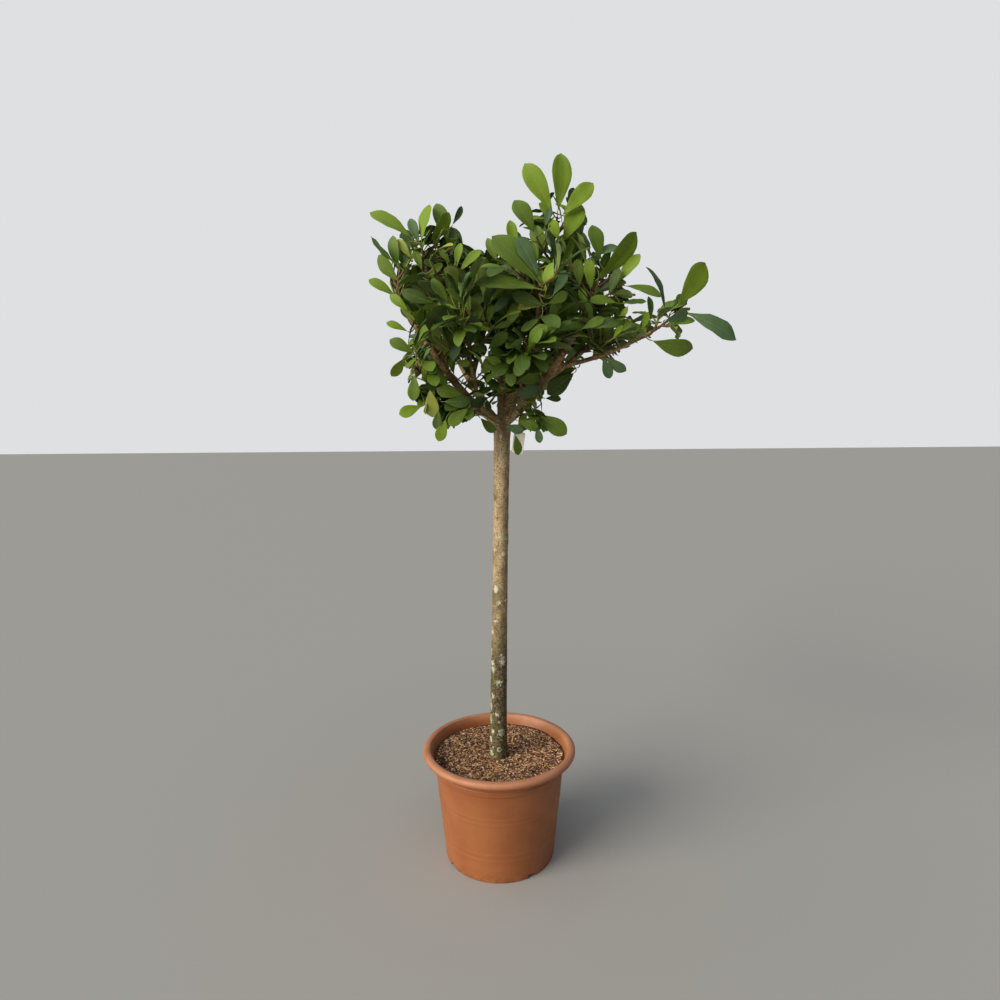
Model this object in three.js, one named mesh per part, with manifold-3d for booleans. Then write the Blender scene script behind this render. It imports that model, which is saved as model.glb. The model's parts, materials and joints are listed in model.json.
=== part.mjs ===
// Potted African fig: a standard on one bare stem, with an open leafy crown, in its round pot.
// Millimetres, +Z up, -Y towards the viewer. The origin is the middle of the pot's flat underside.
import * as THREE from 'three';
import { mergeVertices } from 'three/addons/utils/BufferGeometryUtils.js';
import Module from 'manifold-3d';

const wasm = await Module();
wasm.setup();

const { degToRad, lerp } = THREE.MathUtils;
const up = new THREE.Vector3(0, 0, 1);
const towardsViewer = new THREE.Vector3(0, -1, 0);

// Driving dimensions
const gap = 0.3;
const goldenAngle = 137.5;

const pot = {
  height: 370,
  rimRadius: 250,
  rimDepth: 24,
  lipRadius: 226,
  collarRadius: 219,
  collarFoot: 306,
  step: 4,
  bodyTopRadius: 210,
  footRadius: 180,
  wall: 4,
  floor: 15,
  sides: 32,
};

const notch = { count: 4, width: 28, height: 11, depth: 44, firstTurn: 33 };

const soil = { level: 330, edgeLevel: 338, padRadius: 46, fadeWidth: 40, ripple: 3.6, sides: 28 };

const trunk = { foot: [-4, 0, soil.level - 2], top: [18, 0, 1452], bow: [-2, 0, 0], sides: 12 };

// Trunk radius by share of its length: a flare at the foot, a slim middle, a swelling at the fork.
const trunkRadii = [
  [0, 32.5],
  [0.012, 30],
  [0.04, 28.8],
  [0.12, 27.4],
  [0.26, 26.2],
  [0.42, 24.8],
  [0.58, 23.7],
  [0.74, 23.6],
  [0.86, 24.4],
  [0.94, 25.8],
  [0.97, 26.2],
  [0.987, 24],
  [1, 17],
];

// Each limb leaves its carrier at a share of that carrier's length. bow is how far it sags first.
// Both front boughs were shortened once, and their branches rise from the stubs.
const limbs = {
  leftBough: { from: ['trunk', 0.975], tip: [-188, -112, 1646], bow: 62, radii: [14, 9.5] },
  rightBough: { from: ['trunk', 0.975], tip: [199, -96, 1636], bow: 44, radii: [15, 12] },
  centreBough: { from: ['trunk', 0.985], tip: [6, 24, 1700], bow: 0, radii: [13, 8] },
  rearRightBough: { from: ['trunk', 0.98], tip: [160, 30, 1880], bow: 20, radii: [12, 7] },
  rearLeftBough: { from: ['trunk', 0.97], tip: [-128, 148, 1640], bow: 45, radii: [12, 8] },
  rearBough: { from: ['trunk', 0.96], tip: [75, 170, 1550], bow: 40, radii: [11, 8] },
  leftTopBranch: { from: ['leftBough', 0.88], tip: [-206, -54, 1888], bow: 0, radii: [8, 5.5] },
  leftSideBranch: { from: ['leftBough', 0.95], tip: [-264, -128, 1765], bow: 14, radii: [7.5, 5.5] },
  leftMiddleBranch: { from: ['leftBough', 0.8], tip: [-148, -96, 1735], bow: 6, radii: [7, 5.5] },
  leftLowBranch: { from: ['leftBough', 0.72], tip: [-198, -158, 1570], bow: 6, radii: [6.5, 5] },
  frontLeftBranch: { from: ['leftBough', 0.3], tip: [-70, -162, 1590], bow: 20, radii: [7, 5.5] },
  forkLeftBranch: { from: ['leftBough', 0.2], tip: [-84, -84, 1470], bow: 4, radii: [6, 5] },
  frontBranch: { from: ['rightBough', 0.62], tip: [118, -185, 1765], bow: 10, radii: [8, 6] },
  frontLowBranch: { from: ['rightBough', 0.36], tip: [70, -96, 1570], bow: 8, radii: [6.5, 5] },
  rightTopBranch: { from: ['rightBough', 0.93], tip: [284, -75, 1772], bow: 8, radii: [9, 6.5] },
  rightLowBranch: { from: ['rightBough', 0.7], tip: [236, -60, 1622], bow: 12, radii: [7, 5.5] },
  reachBranch: { from: ['rightBough', 0.84], tip: [446, -139, 1684], bow: 30, radii: [7.5, 4.8] },
  forkRightBranch: { from: ['rightBough', 0.24], tip: [88, -62, 1452], bow: 6, radii: [6, 4.5] },
  rearRightBranch: { from: ['rearRightBough', 0.5], tip: [176, 158, 1690], bow: 14, radii: [7.5, 6] },
  rearTopBranch: { from: ['rearLeftBough', 0.7], tip: [-28, 176, 1765], bow: 12, radii: [8, 6] },
};

// Masses of foliage. Each grows from the tip of its limb, and its space is all that lies nearer its
// centre than any other mass's centre, out to its reach along X, Y and Z from its stem's top. The
// leaves that make the crown's outline are set by heading (0 to the viewer, 90 to the right), rise,
// length and roll, and may pass the reach.
const masses = {
  leftTop: { limb: 'leftTopBranch', centre: [-215, -50, 1965], reach: [95, 130, 80],
    stemTop: [-217, -60, 1947], twigs: 4, twigLength: 100, leafLength: 135, leaves: 5, hang: 0, seed: 1101,
    set: [[310, 26, 175, 0], [350, 36, 110, 20], [90, 82, 130, -30], [90, 56, 145, -25], [300, 26, 90, 65]],
    shoots: [{ at: 0.25, tip: [-136, -50, 1934], set: [[230, 72, 150, -50], [110, 72, 145, 20]] }] },
  leftSide: { limb: 'leftSideBranch', centre: [-315, -150, 1825], reach: [72, 110, 95],
    stemTop: [-273, -130, 1857], twigs: 5, twigLength: 95, leafLength: 125, leaves: 5, hang: 0.1, seed: 2203,
    set: [[355, 38, 120, 15], [330, 30, 145, -25], [320, 28, 110, 55], [305, 20, 95, 30], [40, 74, 115, -5]] },
  leftMiddle: { limb: 'leftMiddleBranch', centre: [-150, -110, 1800], reach: [120, 150, 130],
    stemTop: [-150, -120, 1845], twigs: 5, twigLength: 95, leafLength: 130, leaves: 5, hang: 0, seed: 2609 },
  leftLow: { limb: 'leftLowBranch', centre: [-235, -190, 1560], reach: [75, 120, 190],
    stemTop: [-232, -200, 1590], twigs: 5, twigLength: 90, leafLength: 118, leaves: 5, hang: 0.7, seed: 3307 },
  frontLeft: { limb: 'frontLeftBranch', centre: [-95, -205, 1670], reach: [150, 180, 190],
    stemTop: [-65, -205, 1730], twigs: 6, twigLength: 110, leafLength: 125, leaves: 6, hang: 0.2, seed: 4409 },
  front: { limb: 'frontBranch', centre: [75, -225, 1850], reach: [150, 140, 115],
    stemTop: [119, -225, 1806], twigs: 5, twigLength: 100, leafLength: 140, leaves: 6, hang: 0, seed: 5501,
    set: [[250, 50, 200, -45], [225, 56, 150, -5], [275, 12, 180, 20], [45, 72, 85, -30], [35, 22, 110, -50]] },
  frontLow: { limb: 'frontLowBranch', centre: [70, -150, 1600], reach: [125, 150, 150],
    stemTop: [80, -165, 1650], twigs: 5, twigLength: 85, leafLength: 118, leaves: 5, hang: 0.3, seed: 2749 },
  heart: { limb: 'centreBough', centre: [-30, -5, 1850], reach: [150, 140, 75],
    stemTop: [-35, -10, 1880], twigs: 7, twigLength: 120, leafLength: 140, leaves: 6, hang: 0, seed: 6607 },
  top: { limb: 'rearRightBough', centre: [165, 15, 2020], reach: [120, 150, 95],
    stemTop: [184, -30, 2030], twigs: 5, twigLength: 110, leafLength: 150, leaves: 6, hang: 0, seed: 7703,
    set: [[125, 82, 200, 15], [260, 60, 190, 85], [110, 48, 175, 80], [335, 14, 120, 30], [20, 12, 170, -40]],
    shoots: [{ at: 0.3, tip: [120, -60, 1969], set: [[245, 60, 130, -65], [10, 26, 100, -20]] }] },
  rightTop: { limb: 'rightTopBranch', centre: [320, -60, 1850], reach: [140, 140, 110],
    stemTop: [300, -60, 1832], twigs: 5, twigLength: 110, leafLength: 145, leaves: 6, hang: 0, seed: 8807,
    set: [[105, 46, 195, 30], [345, 30, 110, 10], [355, 74, 175, -30], [40, 20, 110, -35]],
    shoots: [{ at: 0.3, tip: [339, -90, 1804],
      set: [[105, 0, 135, -25], [60, -20, 110, -85], [90, 62, 140, -55]] }] },
  rightLow: { limb: 'rightLowBranch', centre: [275, -60, 1650], reach: [110, 140, 115],
    stemTop: [312, -60, 1690], twigs: 5, twigLength: 95, leafLength: 125, leaves: 6, hang: 0.3, seed: 9901 },
  rightReach: { limb: 'reachBranch', centre: [590, -190, 1740], reach: [150, 150, 120],
    stemTop: [523, -160, 1744], twigs: 2, twigLength: 60, leafLength: 110, leaves: 2, hang: 0.1, seed: 1013,
    set: [[120, 52, 175, 55], [55, -28, 215, 60], [20, -20, 90, 70], [10, -48, 165, 0]],
    shoots: [{ at: 0.1, tip: [462, -150, 1721],
      set: [[345, 52, 160, -60], [335, 48, 80, 15], [320, 8, 75, 60]] }] },
  rearTop: { limb: 'rearTopBranch', centre: [0, 210, 1890], reach: [180, 190, 130],
    stemTop: [-10, 205, 1900], twigs: 6, twigLength: 120, leafLength: 145, leaves: 6, hang: 0, seed: 1117 },
  rearLeft: { limb: 'rearLeftBough', centre: [-200, 190, 1730], reach: [140, 190, 165],
    stemTop: [-215, 200, 1770], twigs: 6, twigLength: 112, leafLength: 132, leaves: 6, hang: 0.2, seed: 1213 },
  rearRight: { limb: 'rearRightBranch', centre: [220, 210, 1740], reach: [160, 180, 165],
    stemTop: [225, 225, 1790], twigs: 6, twigLength: 115, leafLength: 138, leaves: 6, hang: 0.2, seed: 1319 },
  rearLow: { limb: 'rearBough', centre: [105, 225, 1575], reach: [150, 150, 150],
    stemTop: [120, 245, 1620], twigs: 5, twigLength: 100, leafLength: 122, leaves: 5, hang: 0.4, seed: 1423 },
  forkRight: { limb: 'forkRightBranch', centre: [95, -75, 1440], reach: [85, 85, 110],
    stemTop: [112, -85, 1458], twigs: 3, twigLength: 55, leafLength: 95, leaves: 4, hang: 0.6, seed: 1523 },
  forkLeft: { limb: 'forkLeftBranch', centre: [-120, -130, 1460], reach: [110, 120, 105],
    stemTop: [-125, -135, 1490], twigs: 3, twigLength: 55, leafLength: 92, leaves: 4, hang: 0.6, seed: 1627 },
};

// A leaf's shares of its own length. sink is how far its root passes the middle of its twig.
const leafShape = { widest: 0.62, width: 0.42, thickness: 0.022, cup: 0.05, arch: 0.07, sink: 0.5 };
const twigRadii = [4.8, 3.2];

// How a mass grows: where its twigs leave the stem and how they lean, how its leaves lean and how
// their size changes from the foot of a twig to its tip. nodeStep is the way between two set leaves.
const habit = {
  twigSpan: [0.2, 0.92],
  twigLean: [74, 46],
  twigTurnSpread: 40,
  twigLeanSpread: 16,
  twigRise: 0.35,
  twigFall: 0.4,
  leafLean: [76, 30],
  leafTurnSpread: 24,
  leafLeanSpread: 18,
  leafRollSpread: 44,
  leafFrom: { stem: 0.55, shoot: 0.4, twig: 0.35 },
  leafLast: 0.99,
  shootLeaves: 3,
  nodeStep: 9,
};

// Room kept to the limbs and to the next mass's space.
const room = { leafToLimb: 9, leafToSpace: 1, twigToLimb: 10, twigToSpace: 8 };

const finishes = {
  pot: { color: 0xb06a3c, roughness: 0.55, metalness: 0 },
  soil: { color: 0x6b4632, roughness: 0.95, metalness: 0 },
  bark: { color: 0x9b8a68, roughness: 0.85, metalness: 0 },
  bough: { color: 0x8a6a4a, roughness: 0.85, metalness: 0 },
  leaf: { color: 0x2f5a1c, roughness: 0.45, metalness: 0 },
};

// Helpers for points, curves and seeded numbers
const point = (coordinates) => new THREE.Vector3(...coordinates);

function seededNumbers(seed) {
  let state = seed;
  const next = () => {
    state = (state * 1664525 + 1013904223) % 4294967296;
    return state / 4294967296;
  };
  next();
  next();
  next();
  return next;
}

function tangentAt(curve, t) {
  const first = curve.v1.clone().sub(curve.v0).multiplyScalar(1 - t);
  const second = curve.v2.clone().sub(curve.v1).multiplyScalar(t);
  return first.add(second).normalize();
}

function readTable(table, t) {
  const next = Math.max(1, table.findIndex(([at]) => at >= t));
  const [startAt, startValue] = table[next - 1];
  const [endAt, endValue] = table[next];
  return lerp(startValue, endValue, (t - startAt) / (endAt - startAt));
}

// Two directions square to an axis: the first faces the viewer, the second lies to its right.
function across(axis) {
  const reference = Math.abs(axis.y) > 0.9 ? up : towardsViewer;
  const front = reference.clone().addScaledVector(axis, -reference.dot(axis)).normalize();
  const side = new THREE.Vector3().crossVectors(axis, front);
  return { front, side };
}

function turned(axis, turn, lean) {
  const { front, side } = across(axis);
  const outward = front.multiplyScalar(Math.cos(degToRad(turn)));
  outward.addScaledVector(side, Math.sin(degToRad(turn)));
  return axis.clone().multiplyScalar(Math.cos(degToRad(lean)))
    .addScaledVector(outward, Math.sin(degToRad(lean)));
}

function headed(heading, rise) {
  const level = Math.cos(degToRad(rise));
  return new THREE.Vector3(level * Math.sin(degToRad(heading)), -level * Math.cos(degToRad(heading)),
    Math.sin(degToRad(rise)));
}

// Solids and their joins
function toSolid(geometry) {
  const bare = geometry.clone();
  bare.deleteAttribute('normal');
  bare.deleteAttribute('uv');
  const merged = mergeVertices(bare, 1e-4);
  return new wasm.Manifold(new wasm.Mesh({
    numProp: 3,
    vertProperties: new Float32Array(merged.attributes.position.array),
    triVerts: new Uint32Array(merged.index.array),
  }));
}

// The largest body of a solid, without the loose scraps and sealed hollows that a join can leave.
function largestBody(solid) {
  return solid.decompose().sort((a, b) => b.volume() - a.volume())[0];
}

function toGeometry(solid) {
  const mesh = solid.getMesh();
  const geometry = new THREE.BufferGeometry();
  geometry.setAttribute('position', new THREE.BufferAttribute(mesh.vertProperties, 3));
  geometry.setIndex(new THREE.BufferAttribute(mesh.triVerts, 1));
  geometry.computeVertexNormals();
  return geometry;
}

// A limb along a curve: a cylinder whose rings are moved onto the curve at the given stops.
function limbSolid(curve, radiusAt, sides, stops) {
  const steps = stops.length - 1;
  const geometry = new THREE.CylinderGeometry(1, 1, 1, sides, steps);
  const stations = stops.map((t) => (
    { place: curve.getPoint(t), radius: radiusAt(t), ...across(tangentAt(curve, t)) }));
  const { position } = geometry.attributes;
  const corner = new THREE.Vector3();
  for (let i = 0; i < position.count; i++) {
    corner.fromBufferAttribute(position, i);
    const station = stations[Math.round((corner.y + 0.5) * steps)];
    const moved = station.place.clone()
      .addScaledVector(station.front, corner.x * station.radius)
      .addScaledVector(station.side, -corner.z * station.radius);
    position.setXYZ(i, moved.x, moved.y, moved.z);
  }
  return toSolid(geometry);
}

// Trunk and limbs
const curves = {};

function trunkCurve() {
  const foot = point(trunk.foot);
  const top = point(trunk.top);
  const middle = foot.clone().lerp(top, 0.5).add(point(trunk.bow));
  return new THREE.QuadraticBezierCurve3(foot, middle, top);
}

function limbCurve({ from: [carrier, at], tip, bow }) {
  const start = curves[carrier].getPoint(at);
  const end = point(tip);
  const middle = start.clone().lerp(end, 0.5).addScaledVector(up, -bow);
  return new THREE.QuadraticBezierCurve3(start, middle, end);
}

curves.trunk = trunkCurve();
for (const [name, plan] of Object.entries(limbs)) {
  curves[name] = limbCurve(plan);
}

const radiusOf = {
  trunk: (t) => readTable(trunkRadii, t),
};
for (const [name, { radii }] of Object.entries(limbs)) {
  radiusOf[name] = (t) => lerp(radii[0], radii[1], t);
}

// Points along every limb, each with the radius there, for keeping leaves and twigs clear.
const limbStations = [];
for (const [name, curve] of Object.entries(curves)) {
  const count = name === 'trunk' ? 60 : 24;
  for (let k = 0; k <= count; k++) {
    const t = k / count;
    limbStations.push({ name, place: curve.getPoint(t), radius: radiusOf[name](t) });
  }
}

// Growth rules
function nearestOwnCentre(name, place, margin) {
  const own = point(masses[name].centre);
  const offset = place.clone().sub(own);
  return Object.entries(masses).every(([other, { centre }]) => {
    if (other === name) return true;
    const towards = point(centre).sub(own);
    return offset.dot(towards) / towards.length() < towards.length() / 2 - margin;
  });
}

function withinReach(name, place) {
  const { stemTop, reach } = masses[name];
  return place.toArray().every((value, k) => Math.abs(value - stemTop[k]) < reach[k]);
}

function clearOfLimbs(place, clearance) {
  return limbStations.every(({ place: station, radius }) => station.distanceTo(place) > radius + clearance);
}

// Whether the line from a to b passes through the triangle.
function crosses(a, b, [p, q, r]) {
  const line = b.clone().sub(a);
  const first = q.clone().sub(p);
  const second = r.clone().sub(p);
  const normal = new THREE.Vector3().crossVectors(line, second);
  const determinant = first.dot(normal);
  if (Math.abs(determinant) < 1e-9) return false;
  const offset = a.clone().sub(p);
  const u = offset.dot(normal) / determinant;
  if (u < 0 || u > 1) return false;
  const other = new THREE.Vector3().crossVectors(offset, first);
  const v = line.dot(other) / determinant;
  if (v < 0 || u + v > 1) return false;
  const t = second.dot(other) / determinant;
  return t > 0 && t < 1;
}

function leafFrom(base, direction, axis, length, roll) {
  const shade = axis.clone().addScaledVector(direction, -axis.dot(direction)).normalize();
  const sky = up.clone().addScaledVector(direction, -up.dot(direction)).normalize();
  const face = shade.add(sky).addScaledVector(direction, 0.001).normalize();
  const flat = new THREE.Vector3().crossVectors(face, direction).normalize();
  const normal = new THREE.Vector3().crossVectors(direction, flat);
  const side = flat.clone().multiplyScalar(Math.cos(degToRad(roll)));
  side.addScaledVector(normal, Math.sin(degToRad(roll)));
  const top = new THREE.Vector3().crossVectors(direction, side);
  const middle = base.clone().addScaledVector(direction, length * leafShape.widest);
  const halfWidth = length * leafShape.width / 2;
  const edge = middle.clone().addScaledVector(top, length * leafShape.cup);
  return {
    root: base.clone().addScaledVector(direction, length * 0.05),
    base,
    direction,
    top,
    side,
    length,
    tip: base.clone().addScaledVector(direction, length).addScaledVector(top, -length * leafShape.arch),
    left: edge.clone().addScaledVector(side, -halfWidth),
    right: edge.clone().addScaledVector(side, halfWidth),
    middle,
  };
}

function trianglesOf({ root, tip, left, right, middle }) {
  return [[root, left, middle], [root, middle, right], [left, tip, middle], [middle, tip, right]];
}

function linesOf({ root, tip, left, right }) {
  return [[root, left], [left, tip], [tip, right], [right, root], [root, tip]];
}

function leavesCross(one, other) {
  if (one.middle.distanceTo(other.middle) > (one.length + other.length) * 0.65) return false;
  const hit = (lines, triangles) => lines.some(([a, b]) => triangles.some((three) => crosses(a, b, three)));
  return hit(linesOf(one), trianglesOf(other)) || hit(linesOf(other), trianglesOf(one));
}

function twigLines(curve) {
  const stops = [0, 0.33, 0.67, 1].map((t) => curve.getPoint(t));
  return [[stops[0], stops[1]], [stops[1], stops[2]], [stops[2], stops[3]]];
}

function leafFits(name, leaf, leaves, twigs) {
  const corners = [leaf.tip, leaf.left, leaf.right, leaf.middle];
  if (!corners.every((corner) => nearestOwnCentre(name, corner, room.leafToSpace))) return false;
  const places = linesOf(leaf).flatMap(([a, b]) => [0.3, 0.65, 1].map((share) => a.clone().lerp(b, share)));
  if (!places.every((place) => clearOfLimbs(place, room.leafToLimb))) return false;
  const triangles = trianglesOf(leaf);
  const pierced = twigs.some(({ lines }) => (
    lines.some(([a, b]) => triangles.some((three) => crosses(a, b, three)))));
  return !pierced && !leaves.some((other) => leavesCross(leaf, other));
}

// Other ways to set a twig or leaf that doesn't fit: turn, lean and share of the length.
const twigTries = [[0, 1], [35, 1], [-35, 0.9], [70, 0.85], [-70, 0.75], [110, 0.7], [160, 0.6]];
const leafTries = [[0, 0, 1], [24, -4, 1], [-24, -4, 1], [0, -16, 0.9], [42, -8, 0.86], [-42, -8, 0.86],
  [0, 14, 0.86], [0, -20, 0.72], [70, 0, 0.72], [-70, 0, 0.72]];
const setLeafTries = [[0, 0, 1], [8, 0, 1], [-8, 0, 1], [0, 8, 1], [0, -8, 1], [16, 4, 0.94], [-16, 4, 0.94],
  [16, -8, 0.9], [-16, -8, 0.9], [24, 0, 0.9], [-24, 0, 0.9], [0, 16, 0.9], [0, -16, 0.9]];

function twigCurve(stem, at, turn, lean, length, lift) {
  const start = stem.getPoint(at);
  const direction = turned(tangentAt(stem, at), turn, lean);
  const middle = start.clone().addScaledVector(direction, length * 0.5);
  const end = start.clone().addScaledVector(direction, length * 0.85).addScaledVector(up, length * lift);
  return new THREE.QuadraticBezierCurve3(start, middle, end);
}

function twigFits(name, curve) {
  const stops = [0.4, 0.7, 1].map((t) => curve.getPoint(t));
  return stops.every((place) => (
    withinReach(name, place)
    && nearestOwnCentre(name, place, room.twigToSpace)
    && clearOfLimbs(place, room.twigToLimb)));
}

function growTwigs(name, stem, random) {
  const plan = masses[name];
  const twigs = [];
  for (const { at, tip, set } of plan.shoots ?? []) {
    const start = stem.getPoint(at);
    const end = point(tip);
    const middle = start.clone().lerp(end, 0.5).addScaledVector(up, -start.distanceTo(end) * 0.15);
    const curve = new THREE.QuadraticBezierCurve3(start, middle, end);
    twigs.push({ curve, lines: twigLines(curve), radii: twigRadii, set, leaves: habit.shootLeaves,
      phase: random() * 360, from: habit.leafFrom.shoot });
  }
  const firstTurn = random() * 360;
  for (let k = 0; k < plan.twigs; k++) {
    const at = lerp(...habit.twigSpan, (k + 0.5) / plan.twigs);
    const turn = firstTurn + k * goldenAngle + (random() - 0.5) * habit.twigTurnSpread;
    const lean = lerp(...habit.twigLean, at) + (random() - 0.5) * habit.twigLeanSpread;
    const length = plan.twigLength * (0.8 + 0.4 * random());
    const phase = random() * 360;
    const lift = habit.twigRise - plan.hang * habit.twigFall;
    for (const [extraTurn, share] of twigTries) {
      const curve = twigCurve(stem, at, turn + extraTurn, lean, length * share, lift);
      if (!twigFits(name, curve)) continue;
      twigs.push({ curve, lines: twigLines(curve), radii: twigRadii, set: [], leaves: plan.leaves,
        phase, from: habit.leafFrom.twig });
      break;
    }
  }
  return twigs;
}

function setLeaves(name, twigs) {
  const leaves = [];
  for (const twig of twigs) {
    const share = habit.nodeStep / twig.curve.v0.distanceTo(twig.curve.v2);
    twig.set.forEach(([heading, rise, length, roll], k) => {
      const base = twig.curve.getPoint(habit.leafLast - k * share);
      for (const [extraTurn, extraRise, part] of setLeafTries) {
        const leaf = leafFrom(base, headed(heading + extraTurn, rise + extraRise), up, length * part, roll);
        if (!leafFits(name, leaf, leaves, twigs)) continue;
        leaves.push(leaf);
        break;
      }
    });
  }
  return leaves;
}

function growLeaves(name, twigs, random) {
  const plan = masses[name];
  const leaves = setLeaves(name, twigs);
  for (const twig of twigs) {
    const last = habit.leafLast - twig.set.length * habit.nodeStep / twig.curve.v0.distanceTo(twig.curve.v2);
    for (let k = 0; k < twig.leaves; k++) {
      const share = k / (twig.leaves - 1);
      const along = lerp(twig.from, last, share);
      const base = twig.curve.getPoint(along);
      const axis = tangentAt(twig.curve, along);
      const turn = twig.phase + k * goldenAngle + (random() - 0.5) * habit.leafTurnSpread;
      const lean = lerp(...habit.leafLean, share) + (random() - 0.5) * habit.leafLeanSpread;
      const size = 0.74 + 0.26 * Math.sin(Math.PI * (0.12 + 0.62 * share));
      const length = plan.leafLength * size * (0.9 + 0.2 * random());
      const roll = (random() - 0.5) * habit.leafRollSpread;
      for (const [extraTurn, extraLean, part] of leafTries) {
        const direction = turned(axis, turn + extraTurn, lean + extraLean);
        direction.addScaledVector(up, -plan.hang).normalize();
        const leaf = leafFrom(base, direction, axis, length * part, roll);
        if (!withinReach(name, leaf.tip) || !leafFits(name, leaf, leaves, twigs)) continue;
        leaves.push(leaf);
        break;
      }
    }
  }
  return leaves;
}

function growMass(name) {
  const plan = masses[name];
  const random = seededNumbers(plan.seed);
  const limb = curves[plan.limb];
  const direction = tangentAt(limb, 1);
  const start = limb.getPoint(1).addScaledVector(direction, gap);
  const end = point(plan.stemTop);
  const middle = start.clone().addScaledVector(direction, start.distanceTo(end) * 0.4);
  const curve = new THREE.QuadraticBezierCurve3(start, middle, end);
  const stem = { curve, lines: twigLines(curve), radii: [radiusOf[plan.limb](1), twigRadii[1]],
    set: plan.set ?? [], leaves: plan.leaves + 1, phase: random() * 360, from: habit.leafFrom.stem };
  const twigs = [stem, ...growTwigs(name, curve, random)];
  return { twigs, leaves: growLeaves(name, twigs, random) };
}

// A leaf has a flat underside, bent across its widest line, and a midrib raised above it.
function leafSolid({ base, direction, top, length, tip, left, right, middle }) {
  const root = base.clone().addScaledVector(direction, -leafShape.sink);
  const ridge = middle.clone().addScaledVector(top, length * (leafShape.cup + leafShape.thickness));
  const corners = [root, left, right, tip, ridge];
  const geometry = new THREE.BufferGeometry().setFromPoints(corners);
  geometry.setIndex([0, 2, 1, 2, 3, 1, 0, 1, 4, 1, 3, 4, 3, 2, 4, 2, 0, 4]);
  return toSolid(geometry);
}

const twigStops = [0, 0.5, 1];

function massSolid({ twigs, leaves }) {
  const pieces = twigs.map(({ curve, radii }) => (
    limbSolid(curve, (t) => lerp(radii[0], radii[1], t), 3, twigStops)));
  pieces.push(...leaves.map(leafSolid));
  return largestBody(wasm.Manifold.union(pieces));
}

// Pot: a turned shell with a rolled rim, a collar above a small step, and drain notches at its foot.
function potSolid() {
  const { height, rimRadius, rimDepth, lipRadius, collarRadius, collarFoot, step } = pot;
  const { bodyTopRadius, footRadius, wall, floor, sides } = pot;
  const edge = 3;
  const profile = [
    [0, 0],
    [footRadius - edge, 0],
    [footRadius, edge],
    [bodyTopRadius, collarFoot - step],
    [bodyTopRadius + step, collarFoot],
    [collarRadius, height - rimDepth - 2],
    [rimRadius - 10, height - rimDepth],
    [rimRadius - 1, height - rimDepth * 0.75],
    [rimRadius, height - rimDepth * 0.45],
    [rimRadius - 4, height - rimDepth * 0.12],
    [rimRadius - 11, height],
    [lipRadius + 4, height - 2],
    [lipRadius, height - rimDepth * 0.35],
    [collarRadius - wall + 2, height - rimDepth],
    [bodyTopRadius - wall, collarFoot - step],
    [footRadius - wall, floor],
    [0, floor],
  ];
  const geometry = new THREE.LatheGeometry(profile.map(([r, z]) => new THREE.Vector2(r, z)), sides);
  geometry.rotateX(Math.PI / 2);
  let solid = toSolid(geometry);
  for (let k = 0; k < notch.count; k++) {
    const cutter = new THREE.BoxGeometry(notch.width, notch.depth, notch.height * 2);
    cutter.translate(0, -footRadius, 0);
    cutter.rotateZ(degToRad(notch.firstTurn + k * 360 / notch.count));
    solid = solid.subtract(toSolid(cutter));
  }
  return solid;
}

// Height of the loose soil above its level, with hollows near the wall and a flat place for the trunk.
function soilRelief(x, y) {
  const distance = Math.hypot(x, y);
  const nearWall = THREE.MathUtils.smoothstep(distance, soil.padRadius, pot.bodyTopRadius);
  const ripple = Math.sin(x / 31 + 1) * Math.cos(y / 27) + 0.5 * Math.sin(x / 17 - y / 23);
  const fade = THREE.MathUtils.smoothstep(distance, soil.padRadius, soil.padRadius + soil.fadeWidth);
  return nearWall * (soil.edgeLevel - soil.level) + fade * ripple * soil.ripple;
}

function soilSolid() {
  const innerRadiusAt = (z) => lerp(pot.footRadius, pot.bodyTopRadius,
    (z - pot.floor) / (pot.collarFoot - pot.step - pot.floor)) - pot.wall;
  const bottom = pot.floor + gap;
  const shoulder = pot.collarFoot - pot.step;
  const facet = Math.cos(Math.PI / soil.sides);
  const profile = [
    [0, bottom],
    [(innerRadiusAt(pot.floor) - gap) * facet, bottom],
    [(innerRadiusAt(shoulder) - gap) * facet, shoulder],
    [(innerRadiusAt(shoulder) + 5) * facet, soil.edgeLevel],
    [180, soil.level],
    [135, soil.level],
    [90, soil.level],
    [soil.padRadius, soil.level],
    [0, soil.level],
  ];
  const geometry = new THREE.LatheGeometry(profile.map(([r, z]) => new THREE.Vector2(r, z)), soil.sides);
  geometry.rotateX(Math.PI / 2);
  const { position } = geometry.attributes;
  for (let i = 0; i < position.count; i++) {
    const [x, y, z] = [position.getX(i), position.getY(i), position.getZ(i)];
    if (z === Math.fround(soil.level)) position.setZ(i, z + soilRelief(x, y));
  }
  return toSolid(geometry);
}

// The assembly
const plant = new THREE.Group();

function addPart(name, solid, finish) {
  const material = new THREE.MeshStandardMaterial({ name: finish, ...finishes[finish] });
  const mesh = new THREE.Mesh(toGeometry(solid), material);
  mesh.name = name;
  plant.add(mesh);
}

const trunkStops = trunkRadii.map(([t]) => t);
const limbStops = [0, 0.3, 0.65, 1];
const limbSides = 7;

// The trunk leans a little, and its foot is cut level just above the soil.
function trunkSolid() {
  const depth = 20;
  const below = new THREE.BoxGeometry(120, 120, depth);
  below.translate(trunk.foot[0], trunk.foot[1], soil.level + gap - depth / 2);
  const whole = limbSolid(curves.trunk, radiusOf.trunk, trunk.sides, trunkStops);
  return whole.subtract(toSolid(below));
}

function radiusWithGap(name, sides) {
  const extra = gap / Math.cos(Math.PI / sides);
  return (t) => radiusOf[name](t) + extra;
}

addPart('pot', potSolid(), 'pot');
addPart('soil', soilSolid(), 'soil');

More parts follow.
